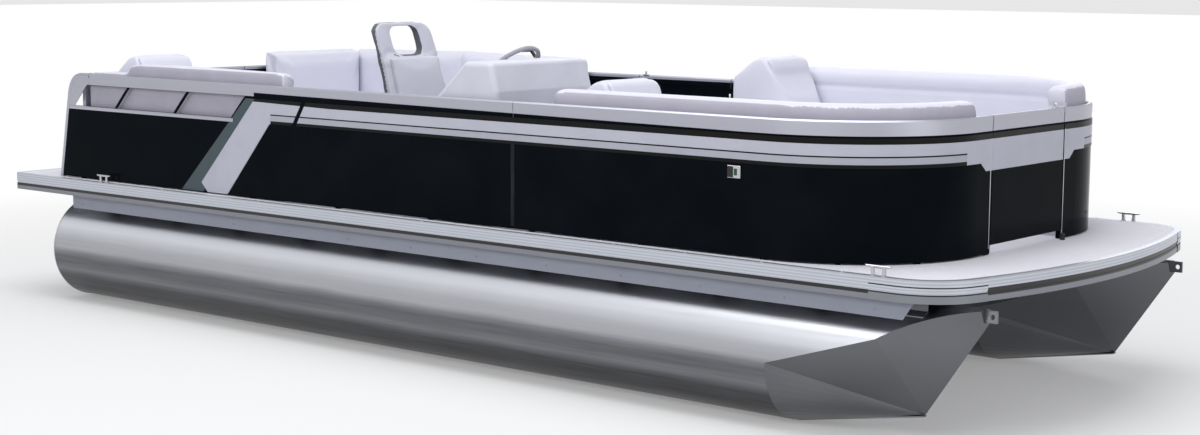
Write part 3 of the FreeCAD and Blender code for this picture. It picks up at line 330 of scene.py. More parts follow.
def level_mask(tree, place, low, high):
    return use_group(tree, "level", place, Low=low, High=high)["Mask"]


def slope_mask(tree, place, run, levels):
    """Mask above a line between two places along the boat, at a level for each."""
    return use_group(tree, "slope", place, Aft=run[0], Bow=run[1], Aft_Level=levels[0],
                     Bow_Level=levels[1])["Above"]


# Finishes

def new_finish(name, **fixed):
    """Principled material with its fixed sockets set, its tree, shader and Object coordinates."""
    material = bpy.data.materials.new(name)
    material.use_nodes = True
    tree = material.node_tree
    shader = feed(tree, tree.nodes["Principled BSDF"], **fixed)
    return material, tree, shader, tree.nodes.new("ShaderNodeTexCoord").outputs["Object"]


def facing(tree):
    return tree.nodes["Texture Coordinate"].outputs["Normal"]


def bump(tree, shader, height, distance, strength=1.0):
    made = feed(tree, node(tree, "ShaderNodeBump"), Height=height, Distance=distance, Strength=strength)
    feed(tree, shader, Normal=made.outputs["Normal"])


def scaled(colour, factor):
    return tuple(min(1.0, channel * factor) for channel in colour)


def metal_finish(name, colour, roughness, line_scale, contrast=0.1, depth=0.00004):
    material, tree, shader, place = new_finish(name, Metallic=1.0)
    brushed = use_group(tree, "brushed", place, Line_Scale=line_scale)
    tone = plus(tree, brushed["Lines"], 0.6, both(tree, brushed["Patches"], 0.4))
    dark, light = scaled(colour, 1 - contrast), scaled(colour, 1 + contrast)
    feed(tree, shader, Base_Color=mix_colour(tree, spread(tree, tone), dark, light),
         Roughness=spread(tree, tone, roughness + 0.05, roughness - 0.05))
    bump(tree, shader, brushed["Height"], depth)
    return material


# Painted reflection and shade: how bright the tube's colour is against how far its surface faces up,
# from straight down to nearly level, with the deck's shadow painted dark near the top
TUBE_PAINTED_REFLECTION = ((-0.75, 0.0), (-0.48, 0.02), (-0.33, 0.19), (-0.19, 0.10), (-0.08, 0.10), (0.02, 0.22),
              (0.12, 0.47), (0.28, 0.56), (0.42, 0.76), (0.53, 0.97), (0.66, 1.0), (0.76, 0.5),
              (0.85, 0.25))


def painted_reflection_ramp(tree, turn):
    ramp = feed(tree, node(tree, "ShaderNodeValToRGB"), Fac=remap(tree, turn, -1.0, 1.0))
    stops = ramp.color_ramp.elements
    stops.remove(stops[1])
    for index, (facing_up, painted_shine) in enumerate(TUBE_PAINTED_REFLECTION):
        stop = stops.new((facing_up + 1) / 2) if index else stops[0]
        stop.position = (facing_up + 1) / 2
        stop.color = (painted_shine, painted_shine, painted_shine, 1.0)
    return ramp.outputs["Color"]


def hull_finish(name, colour):
    """Brushed tube metal with painted bands of mirrored light, and painted shade on its nose plates."""
    material, tree, shader, place = new_finish(name, Metallic=1.0)
    brushed = use_group(tree, "brushed", place, Line_Scale=(2.0, 70.0, 70.0))
    turned = parts_of(tree, facing(tree))
    # Painted reflection: the colour follows the ramp of how far the surface faces up
    ramp = painted_reflection_ramp(tree, plus(tree, brushed["Patches"], 0.05, turned["Z"]))
    painted_shine = plus(tree, brushed["Lines"], 0.12, ramp)
    painted_reflection_tone = mix_colour(tree, painted_shine, scaled(colour, 0.05), scaled(colour, 1.25))
    # Painted shade on the nose plates, which face the bow
    plate = remap(tree, plus(tree, brushed["Patches"], 0.1, turned["X"]), 0.16, 0.24)
    mottled = noise(tree, place, 1.6, 1.0)
    painted_nose_shade = mix_colour(tree, mottled, scaled(colour, 0.18), scaled(colour, 0.36))
    feed(tree, shader, Base_Color=mix_colour(tree, plate, painted_reflection_tone, painted_nose_shade),
         Roughness=spread(tree, brushed["Lines"], 0.38, 0.28))
    bump(tree, shader, brushed["Height"], 0.00003)
    return material


def edge_finish(name, colour, grooves):
    """Satin edge with painted highlight and shade stripes for its rib, dark lines at the given heights
    over its foot, and painted shade on its bottom lip.
    """
    material, tree, shader, place = new_finish(name)
    brushed = use_group(tree, "brushed", place, Line_Scale=(2.0, 160.0, 160.0))
    lines = 0.0
    for low, high in grooves:
        lines = either(tree, lines, level_mask(tree, place, EDGE_FOOT + low, EDGE_FOOT + high))
    # Painted shade on the bottom lip, under the first dark line
    painted_shade_low = level_mask(tree, place, 0.0, EDGE_FOOT + grooves[0][0])
    # Painted highlight and shade stripes that stand for the extrusion's rib
    painted_rib_shine = wave(tree, place, "Z", 22.0)
    metal = mix_colour(tree, painted_rib_shine, scaled(colour, 0.8), scaled(colour, 1.04))
    lip = mix_colour(tree, painted_shade_low, metal, scaled(colour, 0.42))
    feed(tree, shader, Base_Color=mix_colour(tree, lines, lip, srgb(26, 24, 26)),
         Metallic=plus(tree, lines, -0.8, 0.8), Roughness=spread(tree, brushed["Patches"], 0.42, 0.34))
    bump(tree, shader, brushed["Height"], 0.00003)
    return material


def paint_finish(name, colour, roughness, level=0.5):
    material, tree, shader, place = new_finish(name, Coat_Roughness=0.08, Specular_IOR_Level=level)
    dust = use_group(tree, "wear", place, Mark_Scale=7.0)
    pale = scaled(colour, 0.95) if max(colour) > 0.2 else tuple(channel + 0.01 for channel in colour)
    feed(tree, shader, Base_Color=mix_colour(tree, dust["Dust"], colour, pale),
         Roughness=remap(tree, dust["Dust"], 0.0, 1.0, roughness, roughness + 0.07))
    bump(tree, shader, dust["Scuffs"], 0.00004, 0.4)
    return material


def vinyl_finish(name, colour):
    material, tree, shader, place = new_finish(name, Specular_IOR_Level=0.35, Sheen_Weight=0.08,
                                               Sheen_Roughness=0.5)
    grain = use_group(tree, "vinyl", place, Cell_Scale=420.0)
    tone = mix_colour(tree, grain["Mottle"], scaled(colour, 0.95), scaled(colour, 1.03))
    feed(tree, shader, Base_Color=tone, Roughness=remap(tree, grain["Height"], 0.0, 1.3, 0.58, 0.44))
    bump(tree, shader, grain["Height"], 0.00035, 0.5)
    return material


def moulded_finish(name, colour, roughness=0.5, depth=0.00025):
    material, tree, shader, place = new_finish(name, Specular_IOR_Level=0.45)
    wear = use_group(tree, "wear", place, Mark_Scale=5.0)
    pebble = noise(tree, place, 700.0, 2.0)
    feed(tree, shader, Base_Color=mix_colour(tree, wear["Dust"], colour, scaled(colour, 0.92)),
         Roughness=spread(tree, pebble, roughness + 0.06, roughness - 0.06))
    bump(tree, shader, pebble, depth, 0.5)
    return material


def deck_finish(name, colour):
    material, tree, shader, place = new_finish(name, Specular_IOR_Level=0.3)
    weave = use_group(tree, "weave", place, Yarns=150.0)
    yarn = mix_colour(tree, weave["Tint"], scaled(colour, 0.86), scaled(colour, 1.06))
    soil = remap(tree, weave["Soil"], 0.4, 0.8, 0.0, 0.35)
    feed(tree, shader, Base_Color=mix_colour(tree, soil, yarn, scaled(colour, 0.8)),
         Roughness=remap(tree, weave["Height"], 0.0, 1.0, 0.85, 0.65))
    bump(tree, shader, weave["Height"], 0.0006, 0.6)
    return material


# Where the finishes of fence and band change, most of it over the foot of the rail or of the band
RAIL_RUN, RAIL_EDGES = (-1.2, 2.2), (0.003, -0.023)
QUARTER_EDGE = -0.018
WING_RUN, WING_EDGE = (-2.82, -2.819), 0.01
WING_DEPTH = 0.14
INNER_TOP = 0.022
INWARD = -0.2
LIP_RUN, LIP_EDGES = (-0.2, 0.5), (-0.014, -0.027)
LINE_EDGE, LINE_HALF = 0.052, 0.0035
FOOT_EDGE = 0.017
BAND_FRONT = 0.004
MASK_STEP = 0.001
OVER_ALL = RAIL_TOP + 1.0


def fence_finish(name, colours):
    """Gloss black skins under a satin bright top rail, which meets the window band on the aft quarter."""
    material, tree, shader, place = new_finish(name, Specular_IOR_Level=0.015)
    dust = use_group(tree, "wear", place, Mark_Scale=3.0)
    rail = slope_mask(tree, place, RAIL_RUN, [RAIL_FOOT + edge for edge in RAIL_EDGES])
    quarter_run = (STRIPE_AFT, STRIPE_AFT + MASK_STEP)
    quarter = slope_mask(tree, place, quarter_run, (RAIL_FOOT + QUARTER_EDGE, OVER_ALL))
    wing = slope_mask(tree, place, WING_RUN, (BAND_FOOT + WING_EDGE, OVER_ALL))
    split = parts_of(tree, place)
    outboard = over(tree, math_node(tree, "ABSOLUTE", split["Y"]), SIDE - WING_DEPTH)
    towards = node(tree, "ShaderNodeVectorMath", operation="DOT_PRODUCT")
    tree.links.new(place, towards.inputs[0])
    tree.links.new(facing(tree), towards.inputs[1])
    inner = under(tree, towards.outputs["Value"], INWARD)
    hidden = both(tree, inner, under(tree, split["Z"], RAIL_TOP - INNER_TOP))
    shown = both(tree, either(tree, rail, quarter), math_node(tree, "SUBTRACT", 1.0, hidden))
    shown = either(tree, shown, both(tree, wing, outboard))
    dusty = tuple(channel + 0.002 for channel in colours.panel)
    black = mix_colour(tree, dust["Dust"], colours.panel, dusty)
    gloss = remap(tree, dust["Dust"], 0.0, 1.0, 0.1, 0.18)
    feed(tree, shader, Base_Color=mix_colour(tree, shown, black, colours.rail),
         Metallic=both(tree, shown, 0.9), Roughness=plus(tree, shown, 0.24, gloss))
    bump(tree, shader, dust["Scuffs"], 0.00003, 0.3)
    return material


def band_finish(name, colour):
    """Satin pale band, black along its top lip and foot, with a thin dark line over painted shade."""
    material, tree, shader, place = new_finish(name, Specular_IOR_Level=0.12)
    dust = use_group(tree, "wear", place, Mark_Scale=6.0)
    level = BAND_FOOT + LINE_EDGE
    line = level_mask(tree, place, level - LINE_HALF, level + LINE_HALF)
    foot = level_mask(tree, place, BAND_FOOT - 0.02, BAND_FOOT + FOOT_EDGE)
    painted_shade_low = level_mask(tree, place, BAND_FOOT - 0.05, level)
    lip = slope_mask(tree, place, [SLASH_FRONT + reach for reach in LIP_RUN],
                     [BAND_TOP + edge for edge in LIP_EDGES])
    along = parts_of(tree, place)["X"]
    marked = both(tree, over(tree, along, SLASH_FRONT), under(tree, along, FENCE_BOW - BAND_FRONT))
    dark = either(tree, both(tree, either(tree, line, foot), marked), lip)
    base = mix_colour(tree, dust["Dust"], colour, scaled(colour, 0.94))
    # Painted shade on the strip between the band's foot and its dark line
    shade = both(tree, both(tree, painted_shade_low, marked), 0.4)
    strip = mix_colour(tree, shade, base, scaled(colour, 0.62))
    feed(tree, shader, Base_Color=mix_colour(tree, dark, strip, scaled(colour, 0.01)),
         Roughness=remap(tree, dust["Dust"], 0.0, 1.0, 0.32, 0.42))
    bump(tree, shader, dust["Scuffs"], 0.00004, 0.4)
    return material


def glass_finish(name, colour):
    material, tree, shader, place = new_finish(name, Transmission_Weight=0.6, Roughness=0.05, IOR=1.45)
    dust = use_group(tree, "wear", place, Mark_Scale=20.0)["Dust"]
    feed(tree, shader, Base_Color=mix_colour(tree, dust, colour, scaled(colour, 0.9)))
    return material


# The maker and values of each finish, where a name stands for one of the colour settings
FINISH_MAKERS = {
    "hull": (hull_finish, "Brushed hull metal", "hull"),
    "frame": (metal_finish, "Mill finish", "frame_metal", 0.45, (8.0, 40.0, 40.0)),
    "rail": (metal_finish, "Satin rail", "rail", 0.3, (2.0, 160.0, 160.0), 0.05),
    "bright": (metal_finish, "Polished fitting", (0.5, 0.5, 0.53), 0.24, (30.0, 30.0, 200.0), 0.06),
    "steel": (metal_finish, "Stainless fastener", (0.62, 0.62, 0.64), 0.25, (90.0, 90.0, 90.0), 0.08),
    "edge": (edge_finish, "Satin deck edge", "edge", ((0.024, 0.041),)),
    "bow_edge": (edge_finish, "Bow deck edge", "edge", ((0.026, 0.060),)),
    "corner_edge": (edge_finish, "Corner casting", "edge", ((0.034, 0.040), (0.068, 0.074))),
    "deck": (deck_finish, "Woven deck covering", "deck"),
    "band": (band_finish, "Pale band", "band"),
    "teal": (paint_finish, "Teal stripe", "teal", 0.3),
    "skirt": (paint_finish, "Skirt paint", "skirt", 0.42),
    "black": (paint_finish, "Black plastic", srgb(24, 25, 28), 0.4, 0.4),
    "joint": (paint_finish, "Joint strip", srgb(25, 27, 30), 0.4, 0.1),
    "rubber": (moulded_finish, "Black rubber", srgb(28, 28, 30), 0.7, 0.0005),
    # Rests of the cushions, with painted shade on their outboard faces
    "backer": (moulded_finish, "Cushion backer", "backer", 0.6),
    # Chair rear and grab window insides: moulded shell with painted shade
    "chair_rear": (moulded_finish, "Chair shell", "chair_rear"),
    "base": (moulded_finish, "Moulded base", "base", 0.55, 0.0005),
    "console": (moulded_finish, "Moulded console", "console", 0.4),
    "vinyl": (vinyl_finish, "Marine vinyl", "vinyl"),
    "chair": (vinyl_finish, "Chair vinyl", "chair"),
    "piping": (vinyl_finish, "Welt cord vinyl", "piping"),
    "grip": (vinyl_finish, "Stitched grip", srgb(156, 157, 166)),
    "red": (glass_finish, "Red lens", srgb(190, 20, 24)),
    "green": (glass_finish, "Green lens", srgb(10, 120, 60)),
}
FINISHES = {}


def make_finish(key):
    colours = bpy.context.scene.pontoon_colours
    if key == "fence":
        return fence_finish("Gloss fence panel", colours)
    if key == "weld":
        return metal_finish("Weld bead", scaled(colours.hull, 0.7), 0.4, (300.0, 300.0, 300.0), 0.2, 0.0002)
    maker, name, colour, *values = FINISH_MAKERS[key]
    return maker(name, getattr(colours, colour) if isinstance(colour, str) else colour, *values)


def finish(key):
    """Named finish, made on first use."""
    if key not in FINISHES:
        FINISHES[key] = make_finish(key)
    return FINISHES[key]


NODE_FINISHES = {
    "transom": "frame", "cross_members": "frame", "motor_pod": "frame", "chair_pedestal": "frame",
    "edge_rail_bow": "bow_edge", "deck_panel": "deck", "cleats": "bright", "side_lights": "bright",
    "gate_stop": "rubber", "helm_console": "console", "throttle": "black", "steering_wheel": "grip",
}
FIRST_WORDS = {"tube_": "hull", "riser": "frame", "edge_rail": "edge", "bow_corner_cap": "corner_edge",
               "skirt": "skirt", "band": "band", "fence": "fence"}
LAST_WORDS = {"_gate": "fence", "_base": "base"}


def node_finish(name):
    """Finish of a CAD node by its name, and vinyl for what no rule names."""
    found = [key for word, key in FIRST_WORDS.items() if name.startswith(word)]
    found += [key for word, key in LAST_WORDS.items() if name.endswith(word)]
    return NODE_FINISHES.get(name, found[0] if found else "vinyl")


# Modelling helpers

def edit(piece=None, selected=True):
    """Enter edit mode with every element selected or none."""
    if piece:
        only(piece)
    bpy.ops.object.mode_set(mode="EDIT")
    bpy.ops.mesh.select_all(action="SELECT" if selected else "DESELECT")


def leave_edit():
    bpy.ops.object.mode_set(mode="OBJECT")


def nothing_selected():
    if bpy.context.mode != "OBJECT":
        leave_edit()
    bpy.ops.object.select_all(action="DESELECT")


def only(piece):
    nothing_selected()
    piece.select_set(True)
    bpy.context.view_layer.objects.active = piece


def settle(piece, name, key, body):
    """Name a finished piece, put its place in its mesh, give it its finish and let it ride."""
    only(piece)
    piece.name = name
    piece.data.name = name
    bpy.ops.object.transform_apply(location=True, rotation=True, scale=True)
    piece.data.materials.clear()
    piece.data.materials.append(finish(key))
    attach(piece, body)


def apply_all(piece):
    only(piece)
    for modifier in list(piece.modifiers):
        bpy.ops.object.modifier_apply(modifier=modifier.name)


def smooth_round(angle):
    bpy.ops.object.shade_smooth_by_angle(angle=math.radians(angle))


def slab(low, high, bevel=0.0):
    """Box between two corners with its edges eased."""
    nothing_selected()
    low, high = Vector(low), Vector(high)
    bpy.ops.mesh.primitive_cube_add(size=1, location=(low + high) / 2)
    piece = bpy.context.object
    piece.scale = high - low
    bpy.ops.object.transform_apply(location=False, rotation=False, scale=True)
    if bevel:
        edit()
        bpy.ops.mesh.bevel(offset=bevel, segments=2, affect="EDGES")
        leave_edit()
        smooth_round(40)
    return piece


def rod(start, end, radius, sides, bevel):
    """Round bar between two points with eased ends."""
    nothing_selected()
    start, end = Vector(start), Vector(end)
    along = end - start
    turn = along.to_track_quat("Z", "Y").to_euler()
    bpy.ops.mesh.primitive_cylinder_add(vertices=sides, radius=radius, depth=along.length,
                                        location=(start + end) / 2, rotation=turn)
    piece = bpy.context.object
    edit()
    bpy.ops.mesh.select_mode(type="FACE")
    bpy.ops.mesh.select_all(action="DESELECT")
    leave_edit()
    for face in piece.data.polygons:
        face.select = abs(face.normal.z) > 0.9
    bpy.ops.object.mode_set(mode="EDIT")
    bpy.ops.mesh.bevel(offset=bevel, segments=2, affect="EDGES")
    leave_edit()
    smooth_round(40)
    return piece


def bent_bar(points, radius):
    """Round bar along a smooth line of points."""
    nothing_selected()
    bpy.ops.curve.primitive_bezier_curve_add()
    piece = bpy.context.object
    handles = piece.data.splines[0].bezier_points
    handles.add(len(points) - 2)
    for handle, point in zip(handles, points):
        handle.co = point
        handle.handle_left_type = handle.handle_right_type = "AUTO"
    piece.location = (0, 0, 0)
    piece.data.resolution_u = 6
    piece.data.bevel_depth = radius
    piece.data.bevel_resolution = 4
    piece.data.use_fill_caps = True
    bpy.ops.object.convert(target="MESH")
    smooth_round(50)
    return bpy.context.object


def joined(pieces):
    nothing_selected()
    for piece in pieces:
        piece.select_set(True)
    bpy.context.view_layer.objects.active = pieces[0]
    bpy.ops.object.join()
    return bpy.context.object


def copied(piece, offset=(0, 0, 0)):
    """Copy with its own mesh, moved by an offset."""
    twin = piece.copy()
    twin.data = piece.data.copy()
    bpy.context.scene.collection.objects.link(twin)
    twin.matrix_world = Matrix.Translation(Vector(offset)) @ piece.matrix_world
    return twin


def mirrored_copy(piece):
    """Copy on the other side of the boat with its faces outwards."""
    twin = copied(piece)
    only(twin)
    bpy.ops.object.transform_apply(location=True, rotation=True, scale=True)
    edit()
    bpy.ops.transform.resize(value=(1, -1, 1), center_override=(0, 0, 0))
    bpy.ops.mesh.normals_make_consistent(inside=False)
    leave_edit()
    return twin


def settle_both(piece, name, key):
    """Settle a starboard piece and its port twin on the hull."""
    settle(piece, name + "_starboard", key, "hull")
    settle(mirrored_copy(piece), name + "_port", key, "hull")


# Upholstery

GRAB = Vector((CHAIR_LOW.x + 0.09, (CHAIR_LOW.y + CHAIR_HIGH.y) / 2, CHAIR_HIGH.z - 0.1045))
GRAB_HALF = 0.09
REAR_DEPTH = 0.035
PAN_DROP = 0.0403
FINEST_VOXEL = 0.007
NO_SEAM = 1.0
PIPING_DROP = 0.03
BACK_SEAM_DROP = 0.1
FOLD_REACH = 0.23
CLOTH_STEPS = 20
CLOTH = {"quality": 5, "mass": 0.3, "tension_stiffness": 12, "compression_stiffness": 12,
         "shear_stiffness": 5, "bending_stiffness": 0.6, "use_pressure": True, "uniform_pressure_force": 4}
DOWN = (0, 0, -1)
AFT = (-1, 0, 0)


class Seam:
    """Cutting plane of a sewn seam, used only ahead of a direction where one is given."""

    def __init__(self, point, normal, ahead=None):
        self.point = Vector(point)
        self.normal = Vector(normal).normalized()
        self.ahead = Vector(ahead) if ahead else None

    def distance(self, place):
        if self.ahead and (place - self.point).dot(self.ahead) < 0:
            return NO_SEAM
        return abs((place - self.point).dot(self.normal))


def cross_seams(name, axis, panel):
    """Seams that split a node's run into equal sewn panels."""
    low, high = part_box(name)
    count = max(1, round((high[axis] - low[axis]) / panel))
    direction = [0, 0, 0]
    direction[axis] = 1
    seams = []
    for index in range(1, count):
        point = Vector(low)
        point[axis] += (high[axis] - low[axis]) * index / count
        seams.append(Seam(point, direction))
    return seams


def radial_seam(side, share):
    """Seam that runs out from the centre of a rounded bow corner."""
    angle = math.radians(90 * share)
    ahead = Vector((math.sin(angle), side * math.cos(angle), 0))
    return Seam((CORNER.x, side * CORNER.y, 0), ahead.cross(UP), ahead)


class Cushion:
    """One padded piece that takes the place of a soft CAD solid."""

    def __init__(self, node_name, backing, seams, key="vinyl", cut_below=None, softer=1):
        self.node = node_name
        self.low, self.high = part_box(node_name)
        self.backing = [Vector(direction).normalized() for direction in backing]
        self.seams = seams
        self.key = key
        self.cut_below = cut_below
        self.softer = softer
        self.shell = cut_below is not None

    def backed(self, normal):
        return any(normal.dot(direction) > 0.75 for direction in self.backing)

    def seam_distance(self, place):
        return min((seam.distance(place) for seam in self.seams), default=NO_SEAM)

    def moulded(self, face):
        """Faces with no vinyl: the rests, whose darker colour also paints shade on the outboard faces,
        and on the chair its rear and the inside of its grab window, whose dark colour paints shade too.
        """
        if not self.shell:
            return self.backed(face.normal)
        # Inside of the grab window, which takes the dark shell colour as painted shade
        inside = (face.center - GRAB).dot(face.normal) < -0.02 and abs(face.center.z - GRAB.z) < GRAB_HALF
        start = Vector((CHAIR_LOW.x - 1, CHAIR_HIGH.y - 0.1, face.center.z))
        hit, rear, _, _ = frame["nodes"][self.node].ray_cast(start, Vector((1, 0, 0)))
        behind = hit and face.center.x < rear.x + REAR_DEPTH
        return behind or face.normal.x < -0.45 or (inside and abs(face.normal.x) < 0.6)

    def blank(self, sizes):
        """Evenly meshed, softened copy of the solid, drawn in where it will swell."""
        mesh = frame["nodes"][self.node].data.copy()
        self.piece = piece = bpy.data.objects.new(self.node + "_pad", mesh)
        bpy.context.scene.collection.objects.link(piece)
        edit(piece)
        bpy.ops.mesh.remove_doubles(threshold=0.00002)
        if self.shell:
            bpy.ops.mesh.bisect(plane_co=(0, 0, self.cut_below), plane_no=UP, use_fill=True,
                                clear_inner=True)
            bpy.ops.mesh.select_all(action="SELECT")
        bpy.ops.mesh.normals_make_consistent(inside=False)
        leave_edit()
        area = sum(face.area for face in mesh.polygons)
        mesh.remesh_voxel_size = max(FINEST_VOXEL, math.sqrt(area / sizes.cushion_points))
        bpy.ops.object.voxel_remesh()
        near = mesh.remesh_voxel_size * 0.7
        soften = piece.modifiers.new("Soften", "SMOOTH")
        rounding = sizes.cushion_rounding
        soften.iterations = rounding // 6 if self.shell else rounding * self.softer
        apply_all(piece)
        pins = piece.vertex_groups.new(name="Sewn")
        normals = [vertex.normal.copy() for vertex in piece.data.vertices]
        for vertex, normal in zip(piece.data.vertices, normals):
            rests = self.backed(normal)
            if rests or self.seam_distance(vertex.co) < near:
                pins.add([vertex.index], 1.0, "REPLACE")
            if not rests:
                vertex.co = vertex.co - normal * sizes.cushion_ease
        self.start = [vertex.co.copy() for vertex in piece.data.vertices]
        cloth = piece.modifiers.new("Swell", "CLOTH")
        for name, value in CLOTH.items():
            setattr(cloth.settings, name, value)
        cloth.settings.vertex_group_mass = pins.name
        cloth.settings.effector_weights.gravity = 0
        cloth.collision_settings.use_collision = False
        cloth.point_cache.frame_start = 1
        cloth.point_cache.frame_end = CLOTH_STEPS

    def fit(self, mesh, crown):
        """Stretch the pad back to its solid's box, with its top crowned a little over it."""
        places = [vertex.co for vertex in mesh.vertices]
        for axis in range(3):
            low, high = min(place[axis] for place in places), max(place[axis] for place in places)
            target_low = self.cut_below if axis == 2 and self.shell else self.low[axis]
            target_high = self.high[axis] + (crown if axis == 2 else 0.0)
            share = (target_high - target_low) / (high - low)
            for place in places:
                place[axis] = target_low + (place[axis] - low) * share

    def shape(self, sizes):
        piece = self.piece
        apply_all(piece)
        for vertex, start in zip(piece.data.vertices, self.start):
            shift = vertex.co - start
            if shift.length > sizes.cushion_swell:
                shift *= sizes.cushion_swell / shift.length
            vertex.co = start + shift
        ease = piece.modifiers.new("Ease", "SMOOTH")
        ease.iterations = 2 if self.shell else sizes.cushion_rounding * self.softer // 2
        apply_all(piece)
        self.fit(piece.data, 0.0 if self.shell else sizes.cushion_crown)
        smooth = piece.modifiers.new("Finer", "SUBSURF")
        smooth.levels = smooth.render_levels = 1
        apply_all(piece)
        self.sew(piece.data, sizes)
        piece.vertex_groups.clear()
        only(piece)
        bpy.ops.object.shade_smooth()
        body = frame["nodes"][self.node]["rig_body"]
        settle(piece, self.node + "_pad", self.key, body)
        # Second slot: the chair shell's dark colour, painted shade on its rear and grab window, or the
        # rests' darker colour, painted shade on the outboard faces
        piece.data.materials.append(finish("chair_rear" if self.shell else "backer"))
        for face in piece.data.polygons:
            face.material_index = int(self.moulded(face))
        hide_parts(self.node)

    def sew(self, mesh, sizes):
        """Draw the surface in along every seam."""
        moves = []
        for vertex in mesh.vertices:
            near = self.seam_distance(vertex.co)
            if near < sizes.seam_width and not self.backed(vertex.normal):
                share = 1 - (near / sizes.seam_width) ** 2
                moves.append((vertex, vertex.normal * (sizes.seam_depth * self.softer * share * share)))
        for vertex, move in moves:
            vertex.co = vertex.co - move

    def piping(self, sizes):
        """Welt cord along the seams and around the cushion's upper edge."""
        cords = []
        for plane in self.seams + [Seam((0, 0, self.high.z - PIPING_DROP), UP)]:
            twin = copied(self.piece)
            twin.parent = None
            edit(twin)
            bpy.ops.mesh.bisect(plane_co=plane.point, plane_no=plane.normal, clear_inner=True,
                                clear_outer=True)
            if plane.ahead:
                bpy.ops.mesh.select_all(action="SELECT")
                bpy.ops.mesh.bisect(plane_co=plane.point, plane_no=plane.ahead, clear_inner=True)
            leave_edit()
            if not twin.data.edges:
                bpy.data.objects.remove(twin)
                continue
            bpy.ops.object.convert(target="CURVE")
            twin = bpy.context.object
            twin.data.bevel_depth = sizes.piping_radius
            twin.data.bevel_resolution = 1
            bpy.ops.object.convert(target="MESH")
            cords.append(bpy.context.object)
        if not cords:
            return
        cord = joined(cords)
        bpy.ops.object.shade_smooth()
        for key in [key for key in cord.keys() if key.startswith("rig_")]:
            del cord[key]
        settle(cord, self.node + "_piping", "piping", frame["nodes"][self.node]["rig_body"])


def lounge_cushions(panel):
    """Every padded piece with the faces that it rests on and its sewn seams."""
    cushions = []
    for side, word in SIDES:
        back, aft_back = "bow_%s_back" % word, "aft_%s_back" % word
        level = [Seam((0, 0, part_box(back)[1].z - BACK_SEAM_DROP), UP)]
        around = [(math.sin(angle), side * math.cos(angle), 0) for angle in (0.0, 0.5, 1.0, 1.57)]
        cushions.append(Cushion(back, [DOWN] + around, level))
        cushions.append(Cushion("bow_%s_corner_seat" % word, [DOWN], [radial_seam(side, 0.4)]))
        for name in ("bow_%s_lid" % word, "aft_%s_lid" % word):
            cushions.append(Cushion(name, [DOWN], cross_seams(name, 0, panel)))
        cushions.append(Cushion(aft_back, [DOWN, (0, side, 0)], cross_seams(aft_back, 0, panel)))
    for name in ("bow_starboard_bolster", "bow_port_bolster", "aft_starboard_bolster"):
        low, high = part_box(name)
        fold = Seam((low.x + FOLD_REACH, 0, high.z), (0.8, 0, 0.6))
        cushions.append(Cushion(name, [DOWN, AFT], [fold], softer=2))
    for name, backing in (("aft_port_return_back", [DOWN, AFT]), ("aft_port_corner_seat", [DOWN])):
        cushions.append(Cushion(name, backing, cross_seams(name, 1, panel)))
    cushions.append(Cushion("chair_cushions", [DOWN], [], "chair"))
    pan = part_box("chair_cushions")[0].z - PAN_DROP
    cushions.append(Cushion("chair_shell", [], [], "chair", cut_below=pan))
    return cushions


class PONTOON_OT_cushions(Operator):
    """Swells every lounge and chair cushion as cloth and sews its seams and piping"""
    bl_idname = "pontoon.cushions"
    bl_label = "Upholstery"

    def execute(self, context):
        sizes = context.scene.pontoon_sizes
        cushions = lounge_cushions(sizes.panel_length)
        for cushion in cushions:
            cushion.blank(sizes)
        for step in range(1, CLOTH_STEPS + 1):
            context.scene.frame_set(step)
        for cushion in cushions:
            cushion.shape(sizes)
            if cushion.node.endswith(("_lid", "_seat")):
                cushion.piping(sizes)
        return {"FINISHED"}


class PONTOON_OT_finishes(Operator):
    """Gives every carried-over CAD node its finish"""
    bl_idname = "pontoon.finishes"
    bl_label = "Finishes"

    def execute(self, context):
        for name, piece in frame["nodes"].items():
            piece.data.materials.clear()
            piece.data.materials.append(finish(node_finish(name)))
        return {"FINISHED"}


# Trim of the fence: runs along the boat, then heights over the deck or the band's foot

PROUD = 0.0012
LET_IN = 0.002
STRIPE_RUN, STRIPE_LEANS = (-1.900, -1.700), (0.595, 0.485)
STRIPE_LIFT = 0.009
WINDOW_RUN, WINDOW_LEVELS = (-3.01, -1.42), (-0.006, 0.016)
WINDOW_PROUD = 0.003
TUBE_RADIUS = 0.0185
TUBE_INSET = 0.0135
TUBE_DROP = 0.0145
TUBE_RISE = ((-3.109, 0.002), (-3.062, 0.24), (-3.014, 0.49), (-2.996, 0.566))
TUBE_BEND = ((-2.965, -0.03), (-2.92, -0.005), (-2.86, 0.0), (-2.80, 0.0))
GATE_MARGIN = 0.006
BOW_BAND_DROP = 0.04


def slanted_stripe():
    """Teal stripe whose upper corners lean towards the bow."""
    run, head = STRIPE_RUN, BAND_TOP
    stripe = slab((run[0], -SIDE - PROUD, DECK_TOP + STRIPE_LIFT), (run[1], -SIDE + LET_IN, head))
    for foot, lean in zip(run, STRIPE_LEANS):
        edit(stripe, selected=False)
        bpy.ops.mesh.select_mode(type="VERT")
        leave_edit()
        for vertex in stripe.data.vertices:
            place = stripe.matrix_world @ vertex.co
            vertex.select = place.z > head - 0.01 and abs(place.x - foot) < 0.01
        bpy.ops.object.mode_set(mode="EDIT")
        bpy.ops.transform.translate(value=(lean, 0, 0))
        leave_edit()
    return stripe


